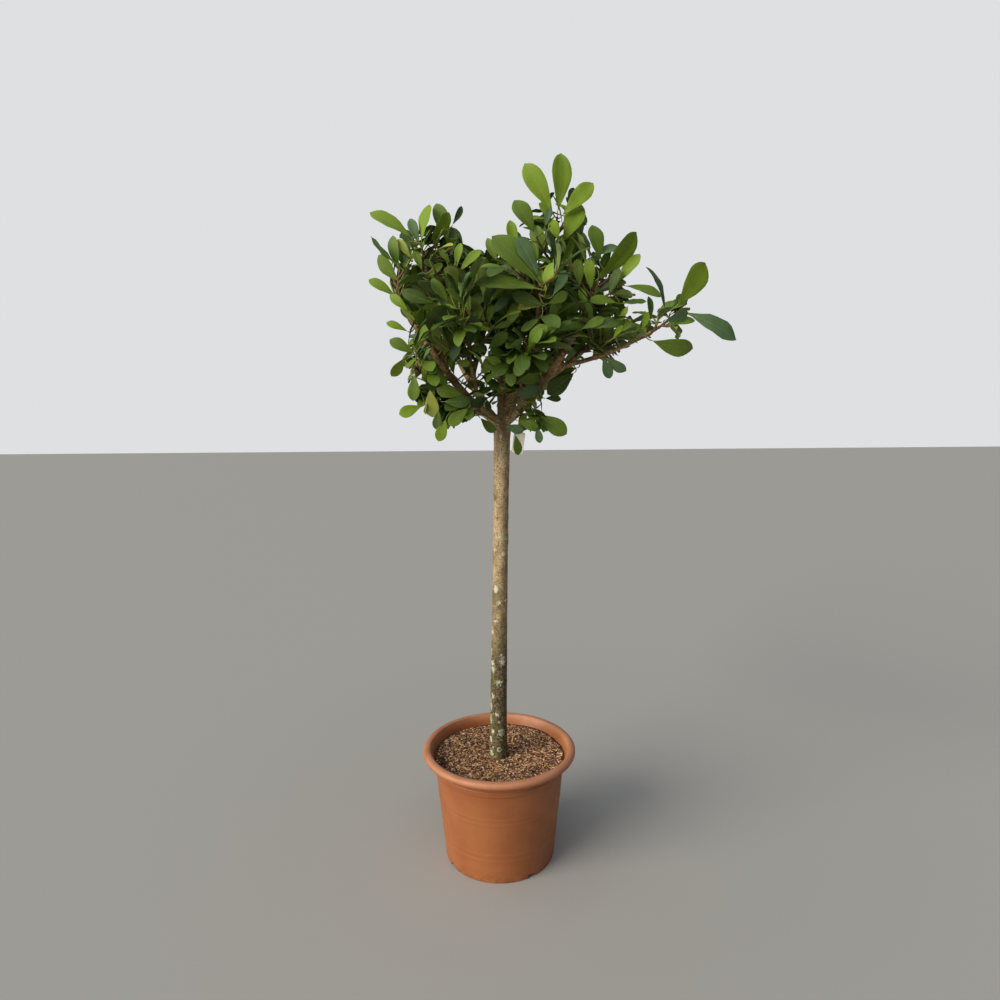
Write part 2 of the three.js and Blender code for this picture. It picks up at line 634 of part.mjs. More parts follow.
addPart('trunk', trunkSolid(), 'bark');
const placed = [limbSolid(curves.trunk, radiusWithGap('trunk', trunk.sides), trunk.sides, trunkStops)];
for (const name of Object.keys(limbs)) {
  let solid = limbSolid(curves[name], radiusOf[name], limbSides, limbStops);
  for (const earlier of placed) {
    solid = solid.subtract(earlier);
  }
  addPart(name, largestBody(solid), 'bough');
  placed.push(limbSolid(curves[name], radiusWithGap(name, limbSides), limbSides, limbStops));
}

for (const name of Object.keys(masses)) {
  addPart(`${name}Leaves`, massSolid(growMass(name)), 'leaf');
}

export default plant;
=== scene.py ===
import json
import math

import bpy
import numpy as np
from mathutils import Matrix, Vector, noise

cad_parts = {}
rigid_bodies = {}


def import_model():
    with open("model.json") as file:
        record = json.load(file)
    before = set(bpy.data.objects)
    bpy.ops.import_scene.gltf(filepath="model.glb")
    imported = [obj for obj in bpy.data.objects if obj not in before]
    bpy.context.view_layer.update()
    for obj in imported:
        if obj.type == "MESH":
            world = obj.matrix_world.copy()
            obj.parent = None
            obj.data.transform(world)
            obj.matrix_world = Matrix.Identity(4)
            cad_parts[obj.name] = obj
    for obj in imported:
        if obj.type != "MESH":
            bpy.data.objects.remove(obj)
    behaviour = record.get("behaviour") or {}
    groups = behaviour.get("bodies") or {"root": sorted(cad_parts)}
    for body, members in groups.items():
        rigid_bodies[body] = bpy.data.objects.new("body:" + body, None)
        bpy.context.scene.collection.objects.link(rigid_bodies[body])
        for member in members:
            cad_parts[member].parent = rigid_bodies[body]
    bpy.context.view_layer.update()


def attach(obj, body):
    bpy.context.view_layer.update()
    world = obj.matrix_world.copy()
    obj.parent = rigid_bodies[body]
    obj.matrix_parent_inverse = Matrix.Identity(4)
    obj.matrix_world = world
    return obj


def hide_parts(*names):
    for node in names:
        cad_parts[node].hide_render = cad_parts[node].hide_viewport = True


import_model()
mm = 0.001
goldenAngle = 137.5


# Small helpers
def lerp(a, b, t):
    return a + (b - a) * t


def smoothstep(value, low, high):
    t = np.clip((value - low) / (high - low), 0, 1)
    return t * t * (3 - 2 * t)


def unit(v):
    return v / np.sqrt(v @ v)


def srgb(red, green, blue):
    linear = [c / 255 / 12.92 if c / 255 <= 0.04045 else ((c / 255 + 0.055) / 1.055) ** 2.4
              for c in (red, green, blue)]
    return (*linear, 1)


def tonesOf(colours):
    return {name: srgb(*colour) for name, colour in colours.items()}


def seededNumbers(seed):
    state = seed

    def nextNumber():
        nonlocal state
        state = (state * 1664525 + 1013904223) % 4294967296
        return state / 4294967296
    for _ in range(3):
        nextNumber()
    return nextNumber


def linkObject(name, mesh):
    piece = bpy.data.objects.new(name, mesh)
    bpy.context.scene.collection.objects.link(piece)
    return piece


def meshFrom(name, points, faces, edges=()):
    mesh = bpy.data.meshes.new(name)
    mesh.from_pydata([tuple(p) for p in points], list(edges), [tuple(f) for f in faces])
    mesh.update()
    return mesh


# Rings of points, each ring with the same count: the faces between them, and a solid closed at both ends
def ringFaces(points, count):
    return [(a + k, a + count + k, a + count + (k + 1) % count, a + (k + 1) % count)
            for a in range(0, len(points) - count, count) for k in range(count)]


def ringSolid(name, points, count):
    ends = [tuple(range(count)), tuple(range(len(points) - 1, len(points) - count - 1, -1))]
    return linkObject(name, meshFrom(name, points, ringFaces(points, count) + ends))


def circle(radius, height, sides):
    turns = [2 * math.pi * k / sides for k in range(sides)]
    return [(radius * mm * math.cos(turn), radius * mm * math.sin(turn), height * mm) for turn in turns]


def addAttribute(mesh, name, kind, domain, values):
    attribute = mesh.attributes.new(name, kind, domain)
    field = "vector" if kind == "FLOAT_VECTOR" else "value"
    attribute.data.foreach_set(field, np.asarray(values).ravel())


# Camera: at the height of a phone held up, looking slightly down, as the photo was taken
camera = {"place": (8.6, -2130, 1460), "pitch": 7.37, "roll": 0.45, "lens": 24.48, "sensor": 36,
          "far": 200}


def makeCamera():
    data = bpy.data.cameras.new("camera")
    data.lens = camera["lens"]
    data.sensor_width = camera["sensor"]
    data.clip_end = camera["far"]
    view = linkObject("camera", data)
    tilt = Matrix.Rotation(math.radians(90 - camera["pitch"]), 4, "X")
    roll = Matrix.Rotation(math.radians(-camera["roll"]), 4, "Z")
    view.matrix_world = Matrix.Translation(Vector(camera["place"]) * mm) @ tilt @ roll
    bpy.context.scene.camera = view


# Node building: a geometry tree with named inputs, set by identifier, and turned into a plain mesh
def newTree(name, inputs):
    tree = bpy.data.node_groups.new(name, "GeometryNodeTree")
    tree.interface.new_socket("Geometry", in_out="INPUT", socket_type="NodeSocketGeometry")
    for label, kind in inputs.items():
        tree.interface.new_socket(label, in_out="INPUT", socket_type="NodeSocket" + kind)
    tree.interface.new_socket("Geometry", in_out="OUTPUT", socket_type="NodeSocketGeometry")
    return tree, tree.nodes.new("NodeGroupInput"), tree.nodes.new("NodeGroupOutput")


def addNode(tree, kind, inputs=None, **settings):
    node = tree.nodes.new(kind)
    for key, value in settings.items():
        setattr(node, key, value)
    for key, value in (inputs or {}).items():
        if isinstance(value, bpy.types.NodeSocket):
            tree.links.new(value, node.inputs[key])
        else:
            node.inputs[key].default_value = value
    return node


def attributeOn(tree, name, kind):
    node = addNode(tree, "GeometryNodeInputNamedAttribute", {"Name": name}, data_type=kind)
    return node.outputs["Attribute"]


# Every tree ends the same way: made real, smoothed where the piece is round, and given its material
def endTree(tree, shape, material, end, smooth=True):
    shape = addNode(tree, "GeometryNodeRealizeInstances", {"Geometry": shape}).outputs["Geometry"]
    if smooth:
        shape = addNode(tree, "GeometryNodeSetShadeSmooth", {"Geometry": shape}).outputs["Geometry"]
    dressed = addNode(tree, "GeometryNodeSetMaterial", {"Geometry": shape, "Material": material})
    tree.links.new(dressed.outputs["Geometry"], end.inputs["Geometry"])
    return dressed


def runTree(piece, tree, values):
    modifier = piece.modifiers.new("grow", "NODES")
    modifier.node_group = tree
    for item in tree.interface.items_tree:
        if item.in_out == "INPUT" and item.name in values:
            modifier[item.identifier] = values[item.name]
    piece.update_tag()
    bpy.context.view_layer.update()


def plainMesh(piece, name):
    bpy.context.view_layer.update()
    evaluated = piece.evaluated_get(bpy.context.evaluated_depsgraph_get())
    mesh = bpy.data.meshes.new_from_object(evaluated)
    bpy.data.objects.remove(piece)
    mesh.name = name
    return linkObject(name, mesh)


# Materials
def newMaterial(name, colour, roughness, **sockets):
    material = bpy.data.materials.new(name)
    material.use_nodes = True
    shader = material.node_tree.nodes["Principled BSDF"]
    shader.inputs["Base Color"].default_value = colour
    shader.inputs["Roughness"].default_value = roughness
    for key, value in sockets.items():
        shader.inputs[key.replace("_", " ")].default_value = value
    return material, material.node_tree, shader


def objectPlace(tree, scale=(1, 1, 1)):
    coordinates = addNode(tree, "ShaderNodeTexCoord")
    return addNode(tree, "ShaderNodeMapping", {"Vector": coordinates.outputs["Object"], "Scale": scale}
                   ).outputs["Vector"]


def noiseOn(tree, place, scale, detail=3, rough=0.55):
    return addNode(tree, "ShaderNodeTexNoise",
                   {"Vector": place, "Scale": scale, "Detail": detail, "Roughness": rough}).outputs["Fac"]


def ranged(tree, value, low, high, toLow=0.0, toHigh=1.0):
    return addNode(tree, "ShaderNodeMapRange",
                   {"Value": value, "From Min": low, "From Max": high, "To Min": toLow, "To Max": toHigh},
                   interpolation_type="SMOOTHSTEP").outputs["Result"]


# Patches of a noise: a smooth step from none to full between two limits of it
def patchy(tree, place, scale, detail, low, high, rough=0.55, toLow=0.0, toHigh=1.0):
    return ranged(tree, noiseOn(tree, place, scale, detail, rough), low, high, toLow, toHigh)


def mathOn(tree, operation, a, b=0.0, c=0.0):
    return addNode(tree, "ShaderNodeMath", {0: a, 1: b, 2: c}, operation=operation).outputs["Value"]


def mixed(tree, share, first, second):
    return addNode(tree, "ShaderNodeMix", {0: share, 6: first, 7: second}, data_type="RGBA").outputs[2]


def bumpOn(tree, shader, height, strength, distance):
    bump = addNode(tree, "ShaderNodeBump", {"Height": height, "Strength": strength, "Distance": distance})
    tree.links.new(bump.outputs["Normal"], shader.inputs["Normal"])


# The plant's plan, in millimetres: every limb leaves its carrier at a share of its length
stemPlan = {"foot": (-4, 0, 328), "top": (18, 0, 1452), "bow": (-2, 0, 0)}
stemRadii = [(0, 32.5), (0.012, 30), (0.04, 28.8), (0.12, 27.4), (0.26, 26.2), (0.42, 24.8), (0.58, 23.7),
             (0.74, 23.6), (0.86, 24.4), (0.94, 25.8), (0.97, 26.2), (0.987, 24), (1, 17)]
limbPlan = {
    "leftBough": ("trunk", 0.975, (-188, -112, 1646), 62, (14, 9.5)),
    "rightBough": ("trunk", 0.975, (199, -96, 1636), 44, (15, 12)),
    "centreBough": ("trunk", 0.985, (6, 24, 1700), 0, (13, 8)),
    "rearRightBough": ("trunk", 0.98, (160, 30, 1880), 20, (12, 7)),
    "rearLeftBough": ("trunk", 0.97, (-128, 148, 1640), 45, (12, 8)),
    "rearBough": ("trunk", 0.96, (75, 170, 1550), 40, (11, 8)),
    "leftTopBranch": ("leftBough", 0.88, (-206, -54, 1888), 0, (8, 5.5)),
    "leftSideBranch": ("leftBough", 0.95, (-264, -128, 1765), 14, (7.5, 5.5)),
    "leftMiddleBranch": ("leftBough", 0.8, (-148, -96, 1735), 6, (7, 5.5)),
    "leftLowBranch": ("leftBough", 0.72, (-198, -158, 1570), 6, (6.5, 5)),
    "frontLeftBranch": ("leftBough", 0.3, (-70, -162, 1590), 20, (7, 5.5)),
    "forkLeftBranch": ("leftBough", 0.2, (-84, -84, 1470), 4, (6, 5)),
    "frontBranch": ("rightBough", 0.62, (118, -185, 1765), 10, (8, 6)),
    "frontLowBranch": ("rightBough", 0.36, (70, -96, 1570), 8, (6.5, 5)),
    "rightTopBranch": ("rightBough", 0.93, (284, -75, 1772), 8, (9, 6.5)),
    "rightLowBranch": ("rightBough", 0.7, (236, -60, 1622), 12, (7, 5.5)),
    "reachBranch": ("rightBough", 0.84, (446, -139, 1684), 30, (7.5, 4.8)),
    "forkRightBranch": ("rightBough", 0.24, (88, -62, 1452), 6, (6, 4.5)),
    "rearRightBranch": ("rearRightBough", 0.5, (176, 158, 1690), 14, (7.5, 6)),
    "rearTopBranch": ("rearLeftBough", 0.7, (-28, 176, 1765), 12, (8, 6)),
}

# Masses of leaves: the limb that each one ends, the centre of its own space, its reach from the top of its
# stem, its twigs and their length, the length and number of a twig's leaves, how far they hang, and its seed
massFields = ("limb", "centre", "reach", "stemTop", "twigs", "twigLength", "leafLength", "leaves", "hang",
              "seed")
massTable = {
    "leftTop": ("leftTopBranch", (-215, -50, 1965), (95, 130, 80), (-217, -60, 1947),
        4, 100, 135, 5, 0, 1101),
    "leftSide": ("leftSideBranch", (-315, -150, 1825), (72, 110, 95), (-273, -130, 1857),
        5, 95, 125, 5, 0.1, 2203),
    "leftMiddle": ("leftMiddleBranch", (-150, -110, 1800), (120, 150, 130), (-150, -120, 1845),
        5, 95, 130, 5, 0, 2609),
    "leftLow": ("leftLowBranch", (-235, -190, 1560), (75, 120, 190), (-232, -200, 1590),
        5, 90, 118, 5, 0.7, 3307),
    "frontLeft": ("frontLeftBranch", (-95, -205, 1670), (150, 180, 190), (-65, -205, 1730),
        6, 110, 125, 6, 0.2, 4409),
    "front": ("frontBranch", (75, -225, 1850), (150, 140, 115), (119, -225, 1806),
        5, 100, 140, 6, 0, 5501),
    "frontLow": ("frontLowBranch", (70, -150, 1600), (125, 150, 150), (80, -165, 1650),
        5, 85, 118, 5, 0.3, 2749),
    "heart": ("centreBough", (-30, -5, 1850), (150, 140, 75), (-35, -10, 1880),
        7, 120, 140, 6, 0, 6607),
    "top": ("rearRightBough", (165, 15, 2020), (120, 150, 95), (184, -30, 2030),
        5, 110, 150, 6, 0, 7703),
    "rightTop": ("rightTopBranch", (320, -60, 1850), (140, 140, 110), (300, -60, 1832),
        5, 110, 145, 6, 0, 8807),
    "rightLow": ("rightLowBranch", (275, -60, 1650), (110, 140, 115), (312, -60, 1690),
        5, 95, 125, 6, 0.3, 9901),
    "rightReach": ("reachBranch", (590, -190, 1740), (150, 150, 120), (523, -160, 1744),
        2, 60, 110, 2, 0.1, 1013),
    "rearTop": ("rearTopBranch", (0, 210, 1890), (180, 190, 130), (-10, 205, 1900),
        6, 120, 145, 6, 0, 1117),
    "rearLeft": ("rearLeftBough", (-200, 190, 1730), (140, 190, 165), (-215, 200, 1770),
        6, 112, 132, 6, 0.2, 1213),
    "rearRight": ("rearRightBranch", (220, 210, 1740), (160, 180, 165), (225, 225, 1790),
        6, 115, 138, 6, 0.2, 1319),
    "rearLow": ("rearBough", (105, 225, 1575), (150, 150, 150), (120, 245, 1620),
        5, 100, 122, 5, 0.4, 1423),
    "forkRight": ("forkRightBranch", (95, -75, 1440), (85, 85, 110), (112, -85, 1458),
        3, 55, 95, 4, 0.6, 1523),
    "forkLeft": ("forkLeftBranch", (-120, -130, 1460), (110, 120, 105), (-125, -135, 1490),
        3, 55, 92, 4, 0.6, 1627),
}
massPlan = {name: dict(zip(massFields, row)) for name, row in massTable.items()}

# A shoot is a twig that is placed: how far up its stem it leaves, and its tip
shootPlan = {
    "leftTop": [(0.25, (-136, -50, 1934))], "top": [(0.3, (120, -60, 1969))],
    "rightTop": [(0.3, (339, -90, 1804))], "rightReach": [(0.1, (462, -150, 1721))],
}

# How a mass grows, and how its finer side twigs carry on from that
habit = {
    "twigSpan": (0.2, 0.92), "twigLean": (74, 46), "twigTurnSpread": 40, "twigLeanSpread": 16,
    "twigRise": 0.35, "twigFall": 0.4, "twigRadii": (4.8, 3.2),
    "twigLeast": 0.8, "twigMore": 0.4, "twigBend": (0.5, 0.85), "shootSag": 0.15, "stemBend": 0.4,
    "leafLean": (76, 30), "leafTurnSpread": 24, "leafLeanSpread": 18, "leafRollSpread": 44,
    "leafLeast": 0.9, "leafMore": 0.2, "leafSwell": (0.74, 0.26), "swellFrom": 0.12, "swellSpan": 0.62,
    "fromStem": 0.55, "fromShoot": 0.4, "fromTwig": 0.35, "leafLast": 0.99, "shootLeaves": 3,
    "twigStops": (0.4, 0.7, 1), "lineStops": (0, 0.33, 0.67, 1), "leafStops": (0.3, 0.65, 1),
    "leafNear": 0.65,
    "leafToLimb": 9, "leafToSpace": 1, "twigToLimb": 10, "twigToSpace": 8, "stemClear": 0.3,
}
finer = {
    "sideTwigs": 4, "sideSpan": (0.3, 0.85), "sideLength": (0.5, 0.8), "sideLean": (38, 66), "sideLeaves": 6,
    "sideFrom": 0.3, "innerStep": 25, "innerFrom": 0.22, "innerLast": 0.98, "innerLength": (55, 110),
    "innerLean": (48, 78), "innerTurnSpread": 50, "innerLeaves": 6, "moreLeaves": 5, "moreTurn": 68,
    "moreFrom": 0.1, "moreLeast": 0.12, "radii": (2.8, 1.9), "low": 1430, "high": 1850, "lowSize": 70,
    "highSize": 136, "lowHang": 0.55, "highHang": -0.35, "facing": 0.9, "twigToLeaf": 150, "leafToTwig": 170,
    "seed": 4241, "tintSeed": 4254, "bareness": {"reachBranch": 2.6}, "sparse": {"rightReach": 1},
}
# A leaf for the tests, in shares of its length
leafPlan = {"root": 0.05, "widest": 0.62, "width": 0.42, "cup": 0.05, "arch": 0.07}
# What is tried in turn until it fits: turn and size of a twig, turn, lean and size of a leaf, and lean and
# shift towards the viewer of a leaf that is placed
twigTries = [(0, 1), (35, 1), (-35, 0.9), (70, 0.85), (-70, 0.75), (110, 0.7), (160, 0.6)]
leafTries = [(0, 0, 1), (24, -4, 1), (-24, -4, 1), (0, -16, 0.9), (42, -8, 0.86), (-42, -8, 0.86),
             (0, 14, 0.86), (0, -20, 0.72), (70, 0, 0.72), (-70, 0, 0.72)]
shownTries = [(0, 0), (0, -14), (0, 14), (0, -28), (0, 28), (6, 0), (-6, 0), (6, -22), (-6, 22), (-6, -40),
              (6, 40), (12, -55), (-12, 55)]
nudge = 0.001  # keeps a direction from having no length
flatLimit = 1e-9  # below this a line runs along a triangle's plane and doesn't cross it
viewLimit = 0.9  # above this an axis runs towards the viewer or away
upward = np.array((0.0, 0.0, 1.0))
toViewer = np.array((0.0, -1.0, 0.0))


# The leaves that stand out from the front, in clusters. depth is where their feet stand, behind or (minus)
# before the stem, and out is how far they lean towards the viewer. Each leaf has the place of its foot
# across and up, its lean from upright as seen from the front, its length, its turn and its tint. The tints
# also paint light: a yellow-green glow for a leaf lit from behind, a bluish painted sky reflection, and a
# deep green as painted shade for a leaf in shadow.
shownSprays = {
    "top": {"depth": -30, "out": 0.05, "leaves": [
        (175, 2035, -30, 172, 0, "fresh"), (185, 2040, 6, 176, -14, "fresh"),
        (195, 2030, 44, 138, 0, "fresh"),
        (200, 1955, 25, 128, 0, "fresh"), (120, 1980, -30, 118, -20, "mid"), (147, 2000, 15, 60, 0, "cool"),
        (165, 1920, -35, 104, 30, "mid"), (190, 1960, -20, 68, 0, "fresh"),
        (212, 2045, 20, 72, -30, "cool")]},
    "upperMiddle": {"depth": -90, "out": 0.05, "leaves": [
        (60, 1910, -10, 98, 0, "fresh"), (85, 1925, -35, 62, 0, "cool"), (190, 1880, 26, 84, -30, "mid"),
        (125, 1890, -15, 58, 0, "mid"), (10, 1885, -25, 80, 20, "mid")]},
    "rightTop": {"depth": -75, "out": 0.08, "leaves": [
        (305, 1890, -10, 108, -25, "mid"), (280, 1905, 65, 86, 30, "cool"),
        (290, 1835, 44, 184, -38, "fresh"),
        (355, 1825, 34, 112, 25, "fresh"), (280, 1805, -5, 98, 0, "fresh"), (300, 1810, 55, 82, 0, "cool"),
        (375, 1825, 105, 116, 40, "mid"), (360, 1775, -80, 84, 25, "fresh"), (360, 1772, 85, 84, 40, "mid"),
        (248, 1815, -6, 88, 0, "mid"), (330, 1790, 20, 90, 20, "deep")]},
    "rightShoot": {"depth": -150, "out": 0.05, "leaves": [
        (480, 1735, -15, 138, -55, "cool"), (440, 1710, -5, 72, -25, "deep"), (415, 1685, 20, 58, 0, "fresh"),
        (510, 1750, 36, 148, -24, "fresh"), (475, 1700, 80, 92, 40, "mid"), (480, 1715, 75, 70, -30, "cool"),
        (530, 1738, 113, 178, 25, "cool"), (440, 1660, 105, 126, -42, "mid"), (305, 1615, 160, 66, 0, "cool"),
        (310, 1615, 125, 76, -30, "cool")]},
    "front": {"depth": -228, "out": 0.12, "leaves": [
        (128, 1794, -42, 190, -38, "mid"), (122, 1812, -28, 130, -20, "cool"),
        (132, 1788, -84, 190, 38, "mid"),
        (135, 1775, 10, 88, 30, "fresh"), (155, 1770, 32, 74, 0, "cool"), (135, 1745, -70, 96, 0, "deep"),
        (124, 1716, -125, 66, 0, "mid"), (125, 1785, -5, 58, 30, "fresh"), (140, 1750, 65, 64, -30, "mid"),
        (85, 1770, -78, 70, 20, "deep")]},
    "middle": {"depth": -200, "out": 0.14, "leaves": [
        (-25, 1630, 50, 76, 15, "mid"), (-35, 1615, 112, 54, 0, "mid"), (-10, 1690, 75, 56, 0, "mid"),
        (-25, 1700, -30, 84, 0, "mid"), (-15, 1725, 45, 72, 0, "cool"), (-20, 1700, 10, 58, 0, "mid"),
        (235, 1685, 65, 72, 0, "mid"), (325, 1660, 35, 44, 0, "fresh"), (340, 1675, 52, 48, 0, "mid")]},
    "leftTop": {"depth": -60, "out": 0.05, "leaves": [
        (-235, 1960, -55, 152, 40, "fresh"), (-220, 1945, -20, 84, 0, "cool"),
        (-215, 1955, 10, 108, 40, "fresh"),
        (-195, 1950, 40, 108, -40, "fresh"), (-135, 1945, -15, 128, -8, "mid"),
        (-125, 2000, 30, 62, -30, "cool"),
        (-115, 1875, 10, 78, 25, "fresh"), (-110, 1865, 45, 96, 30, "fresh"), (-165, 1875, -55, 54, 0, "mid"),
        (-130, 1890, -35, 58, 0, "mid"), (-175, 1925, 5, 70, 0, "pale")]},
    "leftSide": {"depth": -135, "out": 0.1, "leaves": [
        (-270, 1860, -15, 98, 25, "mid"), (-270, 1870, -45, 112, 60, "deep"),
        (-235, 1890, -35, 68, 0, "pale"),
        (-270, 1825, -40, 98, 30, "mid"), (-280, 1785, -55, 94, 30, "fresh"), (-205, 1855, -20, 68, 0, "mid"),
        (-200, 1835, 50, 68, 0, "mid"), (-250, 1690, -65, 68, 25, "fresh"), (-235, 1625, -55, 82, 30, "mid"),
        (-225, 1715, -40, 72, 25, "mid"), (-130, 1765, -35, 88, 0, "mid"), (-165, 1765, -70, 108, 0, "deep"),
        (-160, 1645, -40, 54, 0, "mid"), (-130, 1615, -30, 62, 0, "fresh"),
        (-245, 1745, -48, 74, 0, "fresh")]},
    "leftLow": {"depth": -205, "out": 0.1, "leaves": [
        (-205, 1620, -175, 62, 0, "fresh"), (-250, 1615, -145, 68, -30, "fresh"),
        (-225, 1570, -175, 78, 0, "mid"),
        (-185, 1530, 175, 84, 0, "pale"), (-205, 1480, -110, 72, 0, "fresh"), (-85, 1505, -75, 84, 20, "mid"),
        (-75, 1475, -130, 78, 0, "mid"), (-140, 1445, -160, 70, 0, "fresh"), (-150, 1490, 90, 76, 0, "deep"),
        (-115, 1600, 100, 44, 0, "mid"), (-160, 1470, -170, 58, 0, "deep")]},
    "fork": {"depth": -95, "out": 0.2, "leaves": [
        (-50, 1445, 135, 64, 0, "mid"), (-25, 1545, -105, 64, 25, "mid"), (-20, 1505, -115, 62, 0, "cool"),
        (20, 1420, 105, 64, 0, "cool"), (60, 1435, 110, 68, 0, "mid"), (120, 1455, 125, 108, 0, "mid"),
        (120, 1420, 170, 54, 0, "cool"), (55, 1395, 170, 64, -25, "mid"), (118, 1462, -15, 34, 0, "fresh"),
        (50, 1505, 75, 84, 0, "cool"), (55, 1545, 75, 78, 0, "mid")]},
    "underRight": {"depth": -60, "out": 0.16, "leaves": [
        (245, 1590, -108, 104, 0, "deep"), (238, 1578, -128, 108, 0, "deep"), (145, 1500, 92, 50, 20, "deep"),
        (290, 1635, -75, 62, 20, "mid")]},
}
lightSide = np.array((-0.6, -0.5, 0.6))  # a shown leaf looks at the viewer and turns from there to this

# The crown's outline from the front, across and up on the stem's plane, within which other leaves stay
frontEdge = [(-250, 1460), (-280, 1560), (-290, 1640), (-262, 1710), (-300, 1790), (-330, 1850), (-315, 1940),
             (-290, 2000), (-215, 2035), (-125, 2030), (-85, 1960), (-15, 1945), (15, 2000), (65, 1990),
             (85, 2060), (130, 2070), (150, 2130), (205, 2160), (235, 2100), (275, 2095), (275, 2005),
             (330, 1975), (410, 1940), (395, 1850), (450, 1790), (520, 1790), (580, 1830), (600, 1760),
             (590, 1700), (560, 1660), (480, 1675), (400, 1655), (370, 1600), (290, 1620), (250, 1560),
             (215, 1530), (150, 1525), (140, 1475), (180, 1425), (160, 1395), (90, 1395), (40, 1415),
             (-20, 1410), (-60, 1445), (-150, 1400), (-190, 1440)]
edgeFrom = np.array(frontEdge, float)
edgeTo = np.roll(edgeFrom, -1, axis=0)
eye = np.array(camera["place"], float)


# Curves: three control points each
def pointOn(curve, t):
    a, b, c = curve
    return a * (1 - t) ** 2 + b * 2 * (1 - t) * t + c * t * t


def stopsOn(curve, shares):
    return np.array([pointOn(curve, t) for t in shares])


def headingOn(curve, t):
    a, b, c = curve
    return unit((b - a) * (1 - t) + (c - b) * t)


def planCurves():
    foot, top = np.array(stemPlan["foot"], float), np.array(stemPlan["top"], float)
    curves = {"trunk": (foot, (foot + top) / 2 + np.array(stemPlan["bow"]), top)}
    for name, (carrier, at, tip, bow, _) in limbPlan.items():
        start, end = pointOn(curves[carrier], at), np.array(tip, float)
        curves[name] = (start, (start + end) / 2 - upward * bow, end)
    return curves


def limbRadius(name, t):
    if name == "trunk":
        return np.interp(t, *zip(*stemRadii))
    first, last = limbPlan[name][4]
    return lerp(first, last, t)


curves = planCurves()
stationPlan = {"trunk": 60, "limb": 24}
stationCount = {name: stationPlan.get(name, stationPlan["limb"]) for name in curves}
stations = [(pointOn(curves[name], k / count), limbRadius(name, k / count))
            for name, count in stationCount.items() for k in range(count + 1)]
stationPlaces, stationRadii = (np.array(values) for values in zip(*stations))
centres = {name: np.array(plan["centre"], float) for name, plan in massPlan.items()}


def inOwnSpace(name, places, margin):
    own = centres[name]
    towards = np.array([centre - own for other, centre in centres.items() if other != name])
    lengths = np.linalg.norm(towards, axis=1)
    offsets = (np.atleast_2d(places) - own) @ towards.T / lengths
    return bool((offsets < lengths / 2 - margin).all())


def withinReach(name, place):
    plan = massPlan[name]
    return bool((np.abs(place - np.array(plan["stemTop"])) < np.array(plan["reach"])).all())


def insideFront(places):
    away = places - eye
    seen = eye + away * (-eye[1] / away[:, 1])[:, None]
    x, z = seen[:, 0, None], seen[:, 2, None]
    x0, z0, x1, z1 = edgeFrom[:, 0], edgeFrom[:, 1], edgeTo[:, 0], edgeTo[:, 1]
    crossed = (z0 > z) != (z1 > z)
    slope = (x1 - x0) / np.where(z1 == z0, 1, z1 - z0)
    return bool(((crossed & (x < x0 + (z - z0) * slope)).sum(axis=1) % 2 == 1).all())


def clearOfLimbs(places, clearance):
    distances = np.linalg.norm(np.atleast_2d(places)[:, None] - stationPlaces[None], axis=2)
    return bool((distances > stationRadii + clearance).all())


# True where a line from a start to its end passes through one of the triangles
def anyCross(starts, ends, corners):
    line = (ends - starts)[:, None]
    first, second = (corners[:, 1] - corners[:, 0])[None], (corners[:, 2] - corners[:, 0])[None]
    normal = np.cross(line, second)
    size = (first * normal).sum(-1)
    flat = np.abs(size) < flatLimit
    size = np.where(flat, 1, size)
    offset = starts[:, None] - corners[None, :, 0]
    other = np.cross(offset, first)
    u, v = (offset * normal).sum(-1) / size, (line * other).sum(-1) / size
    t = (second * other).sum(-1) / size
    return bool((~flat & (u >= 0) & (u <= 1) & (v >= 0) & (u + v <= 1) & (t > 0) & (t < 1)).any())


# Directions across an axis: the first faces the viewer, the second lies to its right
def across(axis):
    reference = upward if abs(axis[1]) > viewLimit else toViewer
    front = unit(reference - axis * (reference @ axis))
    return front, np.cross(axis, front)


def turnedFrom(axis, turn, lean):
    front, side = across(axis)
    turn, lean = math.radians(turn), math.radians(lean)
    return axis * math.cos(lean) + (front * math.cos(turn) + side * math.sin(turn)) * math.sin(lean)


def headed(heading, rise):
    heading, rise = math.radians(heading), math.radians(rise)
    return np.array((math.cos(rise) * math.sin(heading), -math.cos(rise) * math.cos(heading), math.sin(rise)))


# A leaf's upper side looks along its twig and at the sky, and for the finer leaves out of the crown too
def leafFrom(base, direction, axis, length, roll, facing=0):
    shade = unit(axis - direction * (axis @ direction))
    sky = unit(upward - direction * (upward @ direction))
    outside = unit((base - np.array(stemPlan["top"])) * (1, 1, 0) + nudge)
    return leafFacing(base, direction, shade + sky + outside * facing + direction * nudge, length, roll)


def leafFacing(base, direction, face, length, roll):
    flat = unit(np.cross(face, direction))
    roll = math.radians(roll)
    side = flat * math.cos(roll) + np.cross(direction, flat) * math.sin(roll)
    top = np.cross(direction, side)
    middle = base + direction * length * leafPlan["widest"]
    edge, half = middle + top * length * leafPlan["cup"], side * length * leafPlan["width"] / 2
    root = base + direction * length * leafPlan["root"]
    tip = base + direction * length - top * length * leafPlan["arch"]
    left, right = edge - half, edge + half
    return {"base": base, "direction": direction, "side": side, "top": top, "length": length,
            "middle": middle, "tip": tip, "corners": np.array((tip, left, right, middle)),
            "starts": np.array((root, left, tip, right, root)),
            "ends": np.array((left, tip, right, root, tip)),
            "faces": np.array(((root, left, middle), (root, middle, right), (left, tip, middle),
                               (middle, tip, right)))}


# The crown so far, kept as arrays so that a new leaf or twig is tested only against what is near it
mostLeaves = 6000
crown = {"count": 0, "middles": np.zeros((mostLeaves, 3)), "lengths": np.zeros(mostLeaves),
         "faces": np.zeros((mostLeaves, 4, 3, 3)), "starts": np.zeros((mostLeaves, 5, 3)),
         "ends": np.zeros((mostLeaves, 5, 3)), "leaves": []}


